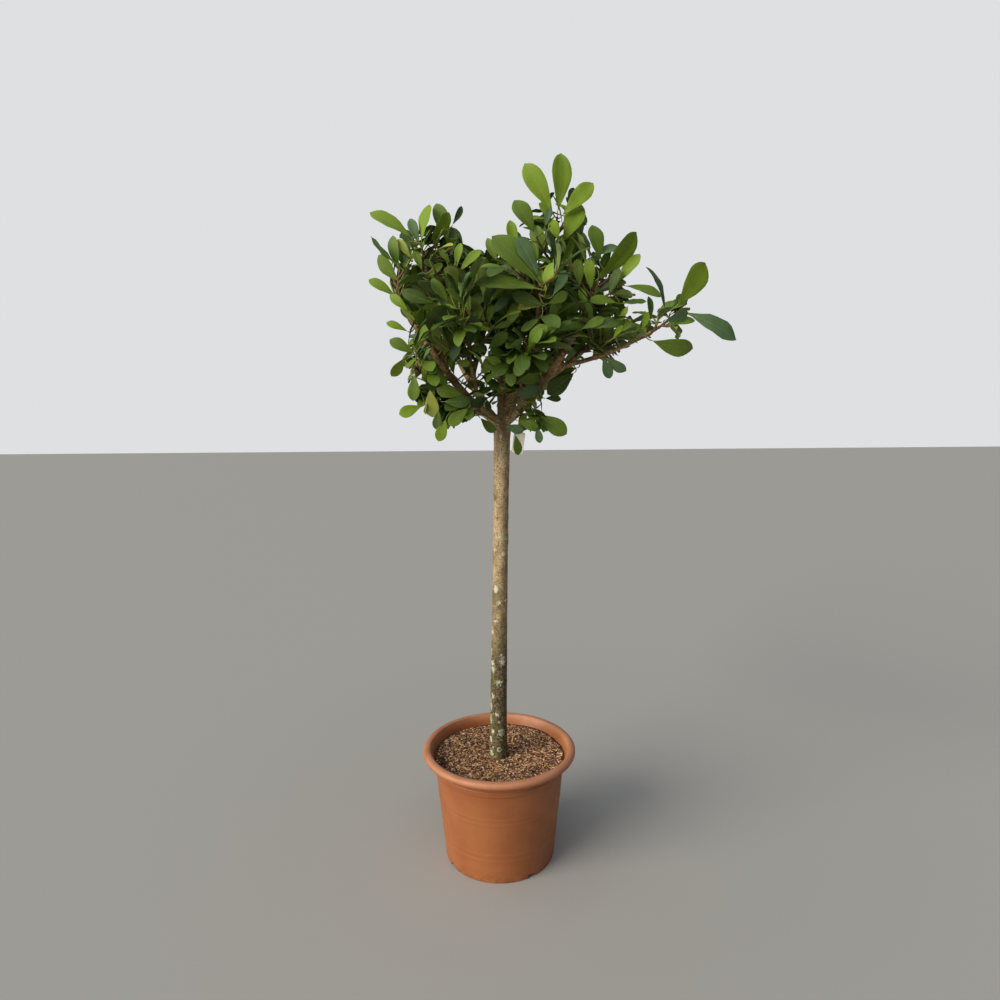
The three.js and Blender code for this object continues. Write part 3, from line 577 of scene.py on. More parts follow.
def keepLeaf(leaf):
    k = crown["count"]
    for key in ("faces", "starts", "ends"):
        crown[key][k] = leaf[key]
    crown["middles"][k], crown["lengths"][k] = leaf["middle"], leaf["length"]
    crown["count"] += 1
    crown["leaves"].append(leaf)


def leavesNear(place, lengths):
    count = crown["count"]
    away = np.linalg.norm(crown["middles"][:count] - place, axis=1)
    return np.nonzero(away <= (crown["lengths"][:count] + lengths) * habit["leafNear"])[0]


def clearOfLeaves(leaf):
    near = leavesNear(leaf["middle"], leaf["length"])
    if not len(near):
        return True
    starts, ends = (crown[key][near].reshape(-1, 3) for key in ("starts", "ends"))
    faces = crown["faces"][near].reshape(-1, 3, 3)
    return not (anyCross(leaf["starts"], leaf["ends"], faces) or anyCross(starts, ends, leaf["faces"]))


# What stays in view from the front: stretches of the boughs, chinks of sky and the shown leaves
openStretches = [("leftBough", 0.05, 1), ("rightBough", 0.2, 1), ("centreBough", 0.06, 0.5),
                 ("reachBranch", 0.1, 0.8)]
chinks = [(90, 1670, 9), (10, 1505, 12), (95, 1640, 7), (210, 1630, 10), (290, 1632, 8), (375, 1640, 12),
          (-20, 1655, 6), (-120, 1595, 8), (425, 1750, 10), (-235, 1555, 12), (335, 1795, 6), (150, 1650, 9),
          (195, 2030, 10), (-255, 1700, 10)]  # x, z and size, at the stem
sightPlan = {"step": 11, "edge": 0.85, "before": 4, "beyond": 1.5,
             "leafShares": (0.14, 0.32, 0.5, 0.68, 0.84, 0.97), "testShares": (0.15, 0.35, 0.82),
             "leafLift": 4, "leafWidth": 0.42, "leafRound": 0.7}
sightEnds = []
shownDepth = 420  # how far before a shown leaf other growth keeps out of its way


def openTheView():
    plan = sightPlan
    for name, first, last in openStretches:
        curve = curves[name]
        count = int(np.linalg.norm(curve[2] - curve[0]) * (last - first) / plan["step"]) + 2
        for k in range(count):
            t = lerp(first, last, k / (count - 1))
            edge = unit(np.cross(headingOn(curve, t), toViewer)) * limbRadius(name, t) * plan["edge"]
            front = pointOn(curve, t) + toViewer * (limbRadius(name, t) + plan["before"])
            sightEnds.extend([front, front + edge, front - edge])
    for x, z, size in chinks:
        for dx, dz in ((0, 0), (1, 0), (-1, 0), (0, 1), (0, -1)):
            place = np.array((x + dx * size, 0, z + dz * size))
            sightEnds.append(eye + (place - eye) * plan["beyond"])


def keepInView(leaf):
    plan = sightPlan
    for share in plan["leafShares"]:
        spot = leaf["base"] + leaf["direction"] * leaf["length"] * share + leaf["top"] * plan["leafLift"]
        taper = math.sin(math.pi * share) ** plan["leafRound"]
        half = leaf["side"] * leaf["length"] * leafPlan["width"] * plan["leafWidth"] * taper
        sightEnds.extend([spot, spot + half, spot - half])


def leavesViewOpen(leaf):
    if "sights" not in crown:
        crown["sights"] = np.array(sightEnds)
        crown["eyes"] = np.broadcast_to(eye, crown["sights"].shape)
    shares = np.array(sightPlan["testShares"])[:, None]
    spots = np.concatenate([leaf["corners"], lerp(leaf["base"], leaf["tip"], shares)])
    return leavesShownOpen(spots) and not anyCross(crown["eyes"], crown["sights"], leaf["faces"])


# Nothing that grows later may stand before a shown leaf, which would cross it as a dark streak
def leavesShownOpen(spots):
    if "shown" not in crown:
        crown["shown"] = crown["faces"][:crown["shownCount"]].reshape(-1, 3, 3).copy()
    away = spots - eye
    away /= np.linalg.norm(away, axis=1)[:, None]
    return not anyCross(spots, spots + away * shownDepth, crown["shown"])


def leafClear(leaf, twigLines, placed=False):
    places = np.concatenate([lerp(leaf["starts"], leaf["ends"], share) for share in habit["leafStops"]])
    return (clearOfLimbs(places, habit["leafToLimb"]) and not anyCross(*twigLines, leaf["faces"])
            and clearOfLeaves(leaf) and (placed or leavesViewOpen(leaf)))


def ownLeafFits(name):
    def fits(leaf, twigLines):
        return inOwnSpace(name, leaf["corners"], habit["leafToSpace"]) and leafClear(leaf, twigLines)
    return fits


def linesOf(twigs):
    stops = np.array([stopsOn(twig["curve"], habit["lineStops"]) for twig in twigs])
    return stops[:, :-1].reshape(-1, 3), stops[:, 1:].reshape(-1, 3)


def ownTwigFits(name):
    def fits(curve):
        stops = stopsOn(curve, habit["twigStops"])
        return (all(withinReach(name, stop) for stop in stops)
                and inOwnSpace(name, stops, habit["twigToSpace"])
                and clearOfLimbs(stops, habit["twigToLimb"]))
    return fits


def twigFrom(carrier, at, turn, lean, length, lift, fits):
    for extraTurn, share in twigTries:
        start = pointOn(carrier, at)
        direction = turnedFrom(headingOn(carrier, at), turn + extraTurn, lean)
        reach, (near, far) = length * share, habit["twigBend"]
        curve = (start, start + direction * reach * near,
                 start + direction * reach * far + upward * reach * lift)
        if fits(curve):
            return curve
    return None


# leafy holds how far along its last leaf or side twig sits: past that, nothing of the twig is made
def newTwig(curve, radii, leaves, phase, first, kind):
    return {"curve": curve, "radii": radii, "leaves": leaves, "phase": phase, "from": first, "kind": kind,
            "leafy": [0]}


def growTwigs(name, stem, random):
    plan, twigs = massPlan[name], []
    for at, tip in shootPlan.get(name, ()):
        start, end = pointOn(stem, at), np.array(tip, float)
        middle = (start + end) / 2 - upward * np.linalg.norm(end - start) * habit["shootSag"]
        twigs.append(newTwig((start, middle, end), habit["twigRadii"], habit["shootLeaves"],
                             random() * 360, habit["fromShoot"], "shoot"))
    firstTurn = random() * 360
    for k in range(plan["twigs"]):
        at = lerp(*habit["twigSpan"], (k + 0.5) / plan["twigs"])
        turn = firstTurn + k * goldenAngle + (random() - 0.5) * habit["twigTurnSpread"]
        lean = lerp(*habit["twigLean"], at) + (random() - 0.5) * habit["twigLeanSpread"]
        length = plan["twigLength"] * (habit["twigLeast"] + habit["twigMore"] * random())
        phase = random() * 360
        lift = habit["twigRise"] - plan["hang"] * habit["twigFall"]
        curve = twigFrom(stem, at, turn, lean, length, lift, ownTwigFits(name))
        if curve is not None:
            twigs.append(newTwig(curve, habit["twigRadii"], plan["leaves"], phase, habit["fromTwig"], "twig"))
    return twigs


# A shown leaf's stalk runs back to the nearest twig or limb, from where no other shown leaf is in the way
stalkPlan = {"radii": (2.3, 1.5), "leafEvery": 30, "mostLeaves": 3, "turn": 40, "from": 0.1, "bend": 16,
             "bendShare": 0.4, "sunk": 0.02, "detour": 2.5, "choices": 10, "leavesWithin": 160,
             "onTwigs": (0.1, 0.98, 12), "onLimbs": (0.2, 1, 14)}


def carrierPoints(twigs):
    onTwigs, onLimbs = (np.linspace(*stalkPlan[key]) for key in ("onTwigs", "onLimbs"))
    return ([(pointOn(twig["curve"], t), twig["leafy"], t) for twig in twigs for t in onTwigs]
            + [(pointOn(curves[name], t), [0], t) for name in limbPlan for t in onLimbs])


def stalkTo(leaf, carriers):
    away = np.array([place for place, _, _ in carriers]) - leaf["base"]
    gaps = np.linalg.norm(away, axis=1)
    effort = gaps + stalkPlan["detour"] * np.maximum(0, away @ leaf["direction"])
    order = np.argsort(effort)[:stalkPlan["choices"]]
    faces = crown["faces"][leavesNear(leaf["base"], stalkPlan["leavesWithin"])].reshape(-1, 3, 3)
    stalks = []
    for k in order:
        bend = leaf["base"] - leaf["direction"] * min(stalkPlan["bend"], gaps[k] * stalkPlan["bendShare"])
        foot = leaf["base"] + leaf["direction"] * leaf["length"] * stalkPlan["sunk"]
        stalks.append((carriers[k][0], bend, foot))
        if not len(faces) or not anyCross(*linesOf([{"curve": stalks[-1]}]), faces):
            break
    else:
        k, stalks = order[0], stalks[:1]
    _, leafy, along = carriers[k]
    leafy[0] = max(leafy[0], along)
    return stalks[-1]


def shownLeaf(cluster, x, z, lean, length, turn, shift):
    foot, lean = np.array((x, cluster["depth"], z), float), math.radians(lean)
    foot += unit(eye - foot) * shift
    direction = unit(np.array((math.sin(lean), -cluster["out"], math.cos(lean))))
    lightward = -1 if np.cross(toViewer, direction) @ lightSide > 0 else 1
    return leafFacing(foot, direction, toViewer, length, turn * lightward)


def showLeaves(twigs):
    stalks, carriers, plan = [], carrierPoints(twigs), stalkPlan
    for cluster in shownSprays.values():
        for x, z, lean, length, turn, tint in cluster["leaves"]:
            lines = linesOf(twigs + stalks)
            for extraLean, shift in shownTries:
                leaf = shownLeaf(cluster, x, z, lean + extraLean, length, turn, shift)
                if leafClear(leaf, lines, placed=True):
                    curve = stalkTo(leaf, carriers)
                    length = np.linalg.norm(curve[2] - curve[0])
                    stalks.append(newTwig(curve, plan["radii"],
                                          min(int(length / plan["leafEvery"]), plan["mostLeaves"]),
                                          plan["turn"] * len(stalks), plan["from"], "stalk"))
                    keepLeaf({**leaf, "tint": tint})
                    keepInView(leaf)
                    break
    crown["shownCount"] = crown["count"]
    print("shown leaves:", len(stalks), "of", sum(len(cluster["leaves"]) for cluster in shownSprays.values()))
    return stalks


def placeLeaves(twigs, twigLines, random, leafLength, hang, fits, inReach, facing=0):
    small, more = habit["leafSwell"]
    for twig in twigs:
        for k in range(twig["leaves"]):
            share = k / (twig["leaves"] - 1)
            along = lerp(twig["from"], habit["leafLast"], share)
            base, axis = pointOn(twig["curve"], along), headingOn(twig["curve"], along)
            turn = twig["phase"] + k * goldenAngle + (random() - 0.5) * habit["leafTurnSpread"]
            lean = lerp(*habit["leafLean"], share) + (random() - 0.5) * habit["leafLeanSpread"]
            swell = small + more * math.sin(math.pi * (habit["swellFrom"] + habit["swellSpan"] * share))
            length = leafLength(base) * swell * (habit["leafLeast"] + habit["leafMore"] * random())
            roll = (random() - 0.5) * habit["leafRollSpread"]
            for extraTurn, extraLean, part in leafTries:
                direction = unit(turnedFrom(axis, turn + extraTurn, lean + extraLean) - upward * hang(base))
                leaf = leafFrom(base, direction, axis, length * part, roll, facing)
                if inReach(leaf["tip"]) and insideFront(leaf["corners"]) and fits(leaf, twigLines):
                    keepLeaf({**leaf, "share": share})
                    twig["leafy"][0] = max(twig["leafy"][0], along)
                    break


def growMass(name):
    plan = massPlan[name]
    random = seededNumbers(plan["seed"])
    limb = curves[plan["limb"]]
    direction = headingOn(limb, 1)
    start, end = limb[2] + direction * habit["stemClear"], np.array(plan["stemTop"], float)
    stemCurve = (start, start + direction * np.linalg.norm(end - start) * habit["stemBend"], end)
    stem = newTwig(stemCurve, (limbPlan[plan["limb"]][4][1], habit["twigRadii"][1]), plan["leaves"] + 1,
                   random() * 360, habit["fromStem"], "stem")
    return [stem] + growTwigs(name, stemCurve, random), random


def fillMass(name, twigs, random):
    plan = massPlan[name]
    placeLeaves(twigs, linesOf(twigs), random, lambda base: plan["leafLength"], lambda base: plan["hang"],
                ownLeafFits(name), lambda tip: withinReach(name, tip))


# The finer growth: side twigs on the twigs, short twigs along the limbs, and more leaves on both. It stays
# within the reach of the masses, and its leaves are smaller and hang more towards the fork.
stemTops, reaches = (np.array([plan[key] for plan in massPlan.values()]) for key in ("stemTop", "reach"))


def withinCrown(place):
    return bool(((place > stemTops - reaches) & (place < stemTops + reaches)).all(axis=1).any())


def heightShare(place):
    return float(smoothstep(place[2], finer["low"], finer["high"]))


def finerLength(base):
    return lerp(finer["lowSize"], finer["highSize"], heightShare(base))


def finerHang(base):
    return lerp(finer["lowHang"], finer["highHang"], heightShare(base))


def finerTwigFits(curve):
    stops = stopsOn(curve, habit["twigStops"])
    if not (all(withinCrown(stop) for stop in stops) and insideFront(stops[1:])
            and clearOfLimbs(stops, habit["twigToLimb"]) and leavesShownOpen(stops)):
        return False
    near = leavesNear(stops[1], finer["twigToLeaf"])
    starts, ends = linesOf([{"curve": curve}])
    return not anyCross(starts[1:], ends[1:], crown["faces"][near].reshape(-1, 3, 3)) if len(near) else True


def growFiner(carrier, at, turn, random, lengths, leans, leaves):
    lean, length = lerp(*leans, random()), lerp(*lengths, random())
    phase = random() * 360
    start = pointOn(carrier, at)
    lift = habit["twigRise"] - finerHang(start) * habit["twigFall"]
    curve = twigFrom(carrier, at, turn, lean, length, lift, finerTwigFits)
    return [] if curve is None else [newTwig(curve, finer["radii"], leaves, phase, finer["sideFrom"], "side")]


def dropBare(twigs):
    return [twig for twig in twigs if twig["leafy"][0] or twig["kind"] in ("stem", "stalk")]


def growSideTwigs(name, twigs, random):
    found, size = [], massPlan[name]["twigLength"]
    lengths = [size * share for share in finer["sideLength"]]
    count = finer["sparse"].get(name, finer["sideTwigs"])
    for twig in twigs:
        for k in range(count):
            at = lerp(*finer["sideSpan"], (k + random()) / count)
            made = growFiner(twig["curve"], at, random() * 360, random, lengths, finer["sideLean"],
                             finer["sideLeaves"])
            found += [{**side, "carrier": twig, "at": at} for side in made]
    return found


def growInnerTwigs(random):
    found = []
    for name in limbPlan:
        curve = curves[name]
        step = finer["innerStep"] * finer["bareness"].get(name, 1)
        length = np.linalg.norm(curve[2] - curve[0])
        count = int(length * (1 - finer["innerFrom"]) / step)
        firstTurn = random() * 360
        for k in range(count):
            at = lerp(finer["innerFrom"], finer["innerLast"], (k + random()) / count)
            turn = firstTurn + k * goldenAngle + (random() - 0.5) * finer["innerTurnSpread"]
            found += growFiner(curve, at, turn, random, finer["innerLength"], finer["innerLean"],
                               finer["innerLeaves"])
    return found


def finerLeafFits(leaf, twigLines):
    middle = leaf["middle"]
    near = np.linalg.norm((twigLines[0] + twigLines[1]) / 2 - middle, axis=1) < finer["leafToTwig"]
    return leafClear(leaf, (twigLines[0][near], twigLines[1][near]))


# Leaves are dealt into plain tints by spray. Young ones at a twig's tip are fresher, and low ones are dealt
# deeper tints as painted shade.
tintPlan = {"upTo": [("deep", 0.36), ("mid", 0.74), ("cool", 0.85), ("fresh", 0.97), ("pale", 1)],
            "else": "fresh", "lowShade": 0.18, "tipFrom": 0.85, "tipFresher": 0.12}
formPlan = {"round": 2, "roundUnder": 115, "roundBelow": 0.5, "roundAbove": 0.7}  # round: the last forms


def dealTint(leaf, deal):
    if "tint" in leaf:
        return leaf["tint"]
    fresher = tintPlan["tipFresher"] if leaf["share"] > tintPlan["tipFrom"] else 0
    # Lower down the pick falls towards the deep tint: painted shade
    pick = deal() + fresher - tintPlan["lowShade"] * (1 - heightShare(leaf["base"]))
    return next((tint for tint, limit in tintPlan["upTo"] if pick < limit), tintPlan["else"])


def pickForm(leaf, share):
    long = len(leafForms) - formPlan["round"]
    if heightShare(leaf["base"]) < formPlan["roundBelow"] and leaf["length"] < formPlan["roundUnder"]:
        return long + int(share * formPlan["round"])
    return int(share * (long + formPlan["roundAbove"]))


def growCrown():
    openTheView()
    grown = {name: growMass(name) for name in massPlan}
    stalks = showLeaves([twig for found, _ in grown.values() for twig in found])
    for name, (found, random) in grown.items():
        fillMass(name, found, random)
    twigs = [twig for found, _ in grown.values() for twig in found]
    print("own growth:", len(twigs), "twigs,", crown["count"], "leaves")
    random = seededNumbers(finer["seed"])
    more = [{**twig, "phase": twig["phase"] + finer["moreTurn"], "leaves": finer["moreLeaves"],
             "from": max(finer["moreLeast"], twig["from"] - finer["moreFrom"])}
            for name, (found, _) in grown.items() if name not in finer["sparse"] for twig in found]
    more += [stalk for stalk in stalks if stalk["leaves"] > 1]
    sideTwigs = [twig for name, (found, _) in grown.items() for twig in growSideTwigs(name, found, random)]
    sideTwigs += growInnerTwigs(random)
    twigs += sideTwigs + stalks
    lines = linesOf(twigs)
    placeLeaves(sideTwigs + more, lines, random, finerLength, finerHang, finerLeafFits, withinCrown,
                finer["facing"])
    for side in dropBare(sideTwigs):
        if "carrier" in side:
            leafy = side["carrier"]["leafy"]
            leafy[0] = max(leafy[0], side["at"])
    twigs = dropBare(twigs)
    deal = seededNumbers(finer["tintSeed"])
    for leaf in crown["leaves"]:
        leaf["tint"] = dealTint(leaf, deal)
        leaf["form"] = pickForm(leaf, deal())
    print("crown grown:", len(twigs), "twigs,", crown["count"], "leaves")
    return twigs, crown["leaves"]


# Stem and boughs: tubes along the plan's curves, melted into one skin, with the bark's relief on it
woodPlan = {"sides": 20, "stemRings": 80, "rings": 26, "collar": 0.3, "collarLength": 34, "bark": 0.35,
            "voxel": 0.0025, "smoothing": 4, "softness": 0.5, "footDepth": 6}
# The bark's relief: the height and the fineness of each part of it. Wrinkles run round the stem.
reliefPlan = {"Lumps": (0.0012, 26), "Grain": (0.0005, 120), "Wrinkles": (0.0007, 70)}
wrinkleShape = (1, 1, 5)
# Old scars of branches, each swollen round a dent: turn from the front, height and size
scarPlan = {"lift": 0.28, "dent": 0.24, "dentWidth": 2.1}
scars = [(-20, 640, 9), (35, 905, 7), (-62, 1015, 10), (150, 780, 10), (100, 1130, 8), (-140, 560, 9),
         (12, 1265, 8), (-95, 1330, 7), (190, 1210, 8), (80, 1060, 13), (-80, 1050, 8), (75, 1395, 8)]


def strands(name, curveList):
    points, edges, radii = [], [], []
    for places, widths in curveList:
        first = len(points)
        points += [tuple(place * mm) for place in places]
        radii += [width * mm for width in widths]
        edges += [(first + k, first + k + 1) for k in range(len(places) - 1)]
    mesh = meshFrom(name, points, (), edges)
    addAttribute(mesh, "thickness", "FLOAT", "POINT", radii)
    return linkObject(name, mesh)


def tubeTree():
    tree, start, end = newTree("tubes", {"Sides": "Int", "Material": "Material"})
    line = addNode(tree, "GeometryNodeMeshToCurve", {"Mesh": start.outputs["Geometry"]})
    width = attributeOn(tree, "thickness", "FLOAT")
    sized = addNode(tree, "GeometryNodeSetCurveRadius", {"Curve": line.outputs["Curve"], "Radius": width})
    ring = addNode(tree, "GeometryNodeCurvePrimitiveCircle",
                   {"Resolution": start.outputs["Sides"], "Radius": 1.0})
    tube = addNode(tree, "GeometryNodeCurveToMesh", {"Curve": sized.outputs["Curve"], "Fill Caps": True,
                                                     "Profile Curve": ring.outputs["Curve"]})
    if "Scale" in tube.inputs:
        tree.links.new(width, tube.inputs["Scale"])
    endTree(tree, tube.outputs["Mesh"], start.outputs["Material"], end)
    return tree


def reliefTree():
    tree, start, end = newTree("barkRelief", {**dict.fromkeys(reliefPlan, "Float"), "Material": "Material"})
    place = addNode(tree, "GeometryNodeInputPosition").outputs["Position"]
    flat = addNode(tree, "ShaderNodeVectorMath", {0: place, 1: wrinkleShape}, operation="MULTIPLY").outputs[0]
    height = 0.0
    for label, (_, scale) in reliefPlan.items():
        source = flat if label == "Wrinkles" else place
        wave = mathOn(tree, "SUBTRACT", noiseOn(tree, source, scale, 2), 0.5)
        height = mathOn(tree, "MULTIPLY_ADD", wave, mathOn(tree, "MULTIPLY", start.outputs[label], 2), height)
    normal = addNode(tree, "GeometryNodeInputNormal").outputs["Normal"]
    shift = addNode(tree, "ShaderNodeVectorMath", {0: normal, "Scale": height}, operation="SCALE").outputs[0]
    moved = addNode(tree, "GeometryNodeSetPosition", {"Geometry": start.outputs["Geometry"], "Offset": shift})
    endTree(tree, moved.outputs["Geometry"], start.outputs["Material"], end)
    return tree


def woodLines():
    lines = []
    for name, curve in curves.items():
        count, collar = woodPlan["rings"], woodPlan["collar"]
        if name == "trunk":
            count, collar = woodPlan["stemRings"], 0
        length = np.linalg.norm(curve[2] - curve[0])
        places, widths = [], []
        for k in range(count + 1):
            t = k / count
            swell = collar * math.exp(-t * length / woodPlan["collarLength"])
            places.append(pointOn(curve, t))
            widths.append(limbRadius(name, t) * (1 + swell) + woodPlan["bark"])
        if name == "trunk":
            places.insert(0, places[0] - upward * woodPlan["footDepth"])
            widths.insert(0, widths[0])
        lines.append((places, widths))
    return lines


def stemSurface(turn, height):
    t = (height - stemPlan["foot"][2]) / (stemPlan["top"][2] - stemPlan["foot"][2])
    centre, radius = pointOn(curves["trunk"], t), limbRadius("trunk", t)
    turn = math.radians(turn)
    return centre + np.array((math.sin(turn), -math.cos(turn), 0)) * radius


# Lichen and moss on the stem: turn from the front, height, width and height of each patch
lichenPatches = [(12, 1070, 9, 8), (60, 1066, 8, 5), (-68, 1054, 6, 10), (-47, 1031, 5, 6), (31, 1015, 8, 6),
                 (-36, 902, 9, 10), (-9, 857, 7, 7), (50, 862, 5, 5), (-9, 1388, 5, 11), (-34, 795, 9, 7),
                 (-68, 757, 8, 12), (50, 739, 5, 7), (22, 665, 9, 16), (21, 682, 6, 6), (-76, 687, 8, 18),
                 (-46, 633, 10, 10), (-60, 654, 8, 9), (-5, 592, 12, 9), (-47, 545, 8, 9), (-67, 515, 8, 22),
                 (-10, 484, 7, 7), (2, 458, 5, 5), (-67, 462, 9, 14), (17, 421, 11, 15), (-42, 424, 6, 7),
                 (-57, 394, 6, 12), (-47, 348, 8, 10), (140, 620, 14, 20), (-130, 470, 14, 24),
                 (178, 480, 12, 20)]
lichenRing = (7, 365, 6.5, 6)  # one patch has died back in its middle
mossPatches = [(-54, 1194, 12, 13), (-62, 883, 9, 12), (-4, 846, 6, 8), (-30, 600, 12, 16),
               (-20, 440, 16, 18), (150, 980, 12, 14)]


# Crumbs of lichen are thickest low down and on the side that faces the light
lichenSpread = {"low": 0.25, "high": -0.5, "from": 340, "to": 900, "side": -52, "sideShare": 0.8,
                "level": 0.6}
patchPlan = {"none": -2.0, "middle": 1.85, "fade": 0.95, "ringAt": 0.9, "ringTop": 2.2, "ringFade": 4}


# How firmly moss or lichen holds: most in the middle of each patch, fading outwards
def patchHold(places, patches):
    hold = np.full(len(places), patchPlan["none"])
    for turn, height, wide, tall in patches:
        offset = places - stemSurface(turn, height)
        level = np.hypot(offset[:, 0], offset[:, 1]) / wide
        fade = patchPlan["fade"] * np.hypot(level, offset[:, 2] / tall)
        hold = np.maximum(hold, patchPlan["middle"] - fade)
    return hold


def vertexValues(mesh, key):
    values = np.empty(len(mesh.vertices) * 3)
    mesh.vertices.foreach_get(key, values)
    return values.reshape(-1, 3)


def markWood(mesh):
    places, normals = vertexValues(mesh, "co") / mm, vertexValues(mesh, "normal")
    for turn, height, size in scars:
        away = np.linalg.norm(places - stemSurface(turn, height), axis=1)
        lift = size * scarPlan["lift"] * np.exp(-(away / size) ** 2)
        dent = size * scarPlan["dent"] * np.exp(-(away / size * scarPlan["dentWidth"]) ** 2)
        places += normals * (lift - dent)[:, None]
    mesh.vertices.foreach_set("co", (places * mm).ravel())
    spread = lichenSpread
    rise = smoothstep(places[:, 2], spread["from"], spread["to"])
    light = math.radians(spread["side"])
    facing = normals[:, 0] * math.sin(light) - normals[:, 1] * math.cos(light)
    lichen = lerp(spread["low"], spread["high"], rise) + (facing - spread["level"]) * spread["sideShare"]
    lichen = np.maximum(lichen, patchHold(places, lichenPatches))
    ring = patchHold(places, [lichenRing])
    ringHold = patchPlan["ringTop"] - patchPlan["ringFade"] * np.abs(ring - patchPlan["ringAt"])
    lichen = np.where(ring > 0, ringHold, lichen)
    addAttribute(mesh, "lichen", "FLOAT", "POINT", lichen)
    addAttribute(mesh, "moss", "FLOAT", "POINT", patchHold(places, mossPatches))
    mesh.update()


barkColours = {"beige": (216, 192, 150), "tan": (142, 116, 82), "speck": (84, 68, 48),
               "grey": (154, 148, 118), "olive": (128, 112, 80), "dark": (56, 48, 35), "moss": (98, 98, 40),
               "orange": (200, 162, 112), "brown": (130, 100, 68), "lichen": (222, 220, 188),
               "greyLichen": (160, 164, 138)}
# Heights in metres between which one bark gives way to the next, and how each growth covers it
barkPlan = {"beigeFrom": (0.84, 1.24), "boughFrom": (1.69, 1.75), "moss": (0.85, 1.25, 0.8),
            "lichen": (0.9, 1.1, 0.92), "mottle": (0.58, 0.77), "wide": 0.45, "ridged": 0.3, "fine": 0.6,
            "ragged": 0.5, "crumbs": 5, "ridgedBump": 0.7, "bump": (0.85, 0.002), "rough": 0.85}
# A pattern holds what patchy takes, and a grain its stretch and what noiseOn takes
barkPatterns = {"speck": (170, 4, 0.56, 0.63, 0.7, 0, 0.85), "grey": (9, 3, 0.5, 0.68, 0.55, 0, 0.5),
                "dark": (140, 5, 0.43, 0.56, 0.75), "moss": (17, 3, 0.48, 0.64, 0.55, 0, 0.6),
                "greyLichen": (34, 4, 0.42, 0.6, 0.6)}
barkGrains = {"wide": ((1, 1, 0.6), 30, 4), "ridged": ((1, 1, 3.5), 120, 5, 0.7),
              "fine": ((1, 1, 1), 210, 5, 0.8), "ragged": ((1, 1, 1), 30, 4, 0.65),
              "crumbs": ((1, 1, 1), 120, 5, 0.75)}


# Above the soil the bark is dark and mossy, then beige, and on the boughs a warmer brown
def barkMaterial():
    material, tree, shader = newMaterial("bark", srgb(*barkColours["beige"]), barkPlan["rough"])
    tone, place = tonesOf(barkColours), objectPlace(tree)
    marks = {name: patchy(tree, place, *pattern) for name, pattern in barkPatterns.items()}
    grain = {name: noiseOn(tree, objectPlace(tree, stretch), *values)
             for name, (stretch, *values) in barkGrains.items()}
    height = addNode(tree, "ShaderNodeSeparateXYZ", {"Vector": place}).outputs["Z"]
    level = mathOn(tree, "MULTIPLY", grain["wide"], barkPlan["wide"])
    for name in ("ridged", "fine"):
        level = mathOn(tree, "MULTIPLY_ADD", grain[name], barkPlan[name], level)
    mottle = ranged(tree, level, *barkPlan["mottle"])
    upper = mixed(tree, mottle, tone["beige"], tone["tan"])
    upper = mixed(tree, marks["grey"], upper, tone["grey"])
    upper = mixed(tree, marks["speck"], upper, tone["speck"])
    lower = mixed(tree, marks["dark"], tone["olive"], tone["dark"])
    lower = mixed(tree, marks["moss"], lower, tone["moss"])
    ragged = mathOn(tree, "MULTIPLY_ADD", grain["ragged"], barkPlan["ragged"], height)
    stem = mixed(tree, ranged(tree, ragged, *barkPlan["beigeFrom"]), lower, upper)
    limb = mixed(tree, mottle, tone["orange"], tone["brown"])
    limb = mixed(tree, marks["speck"], limb, tone["speck"])
    whole = mixed(tree, ranged(tree, ragged, *barkPlan["boughFrom"]), stem, limb)
    crumbs = mathOn(tree, "SUBTRACT", grain["crumbs"], 0.5)
    crumbs = mathOn(tree, "MULTIPLY", crumbs, barkPlan["crumbs"])
    lichen = mixed(tree, marks["greyLichen"], tone["lichen"], tone["greyLichen"])
    for name, growth in (("moss", tone["moss"]), ("lichen", lichen)):
        low, high, cover = barkPlan[name]
        hold = addNode(tree, "ShaderNodeAttribute", attribute_name=name).outputs["Fac"]
        share = ranged(tree, mathOn(tree, "ADD", hold, crumbs), low, high, 0, cover)
        whole = mixed(tree, share, whole, growth)
    tree.links.new(whole, shader.inputs["Base Color"])
    ridges = mathOn(tree, "MULTIPLY_ADD", grain["ridged"], barkPlan["ridgedBump"], grain["fine"])
    bumpOn(tree, shader, ridges, *barkPlan["bump"])
    return material


def makeWood():
    skin = strands("stemAndBoughs", woodLines())
    bark = barkMaterial()
    runTree(skin, tubeTree(), {"Sides": woodPlan["sides"], "Material": bark})
    melt = skin.modifiers.new("melt", "REMESH")
    melt.mode, melt.voxel_size, melt.use_smooth_shade = "VOXEL", woodPlan["voxel"], True
    soften = skin.modifiers.new("soften", "SMOOTH")
    soften.factor, soften.iterations = woodPlan["softness"], woodPlan["smoothing"]
    wood = plainMesh(skin, "stemAndBoughs")
    heights = {label: height for label, (height, _) in reliefPlan.items()}
    runTree(wood, reliefTree(), {**heights, "Material": bark})
    wood = plainMesh(wood, "stemAndBoughs")
    markWood(wood.data)
    return wood


# Twigs: woody at the foot, green towards the tip, thicker where each leaf leaves them
twigPlan = {"greenFrom": 0.5, "overlap": 0.03, "shortest": 0.05, "pastLastLeaf": 0.02, "points": 18,
            "fewest": 4, "nodes": 7, "nodeSwell": 0.28, "between": 0.86, "nodeSharpness": 6}
twigLooks = {"woodyTwigs": {"material": "woodyTwig", "colour": (104, 78, 50), "rough": 0.75, "sides": 7},
             "greenShoots": {"material": "greenTwig", "colour": (120, 124, 58), "rough": 0.6, "sides": 6}}


def twigEnd(twig):
    return 1 if twig["kind"] in ("stem", "stalk") else min(1, twig["leafy"][0] + twigPlan["pastLastLeaf"])


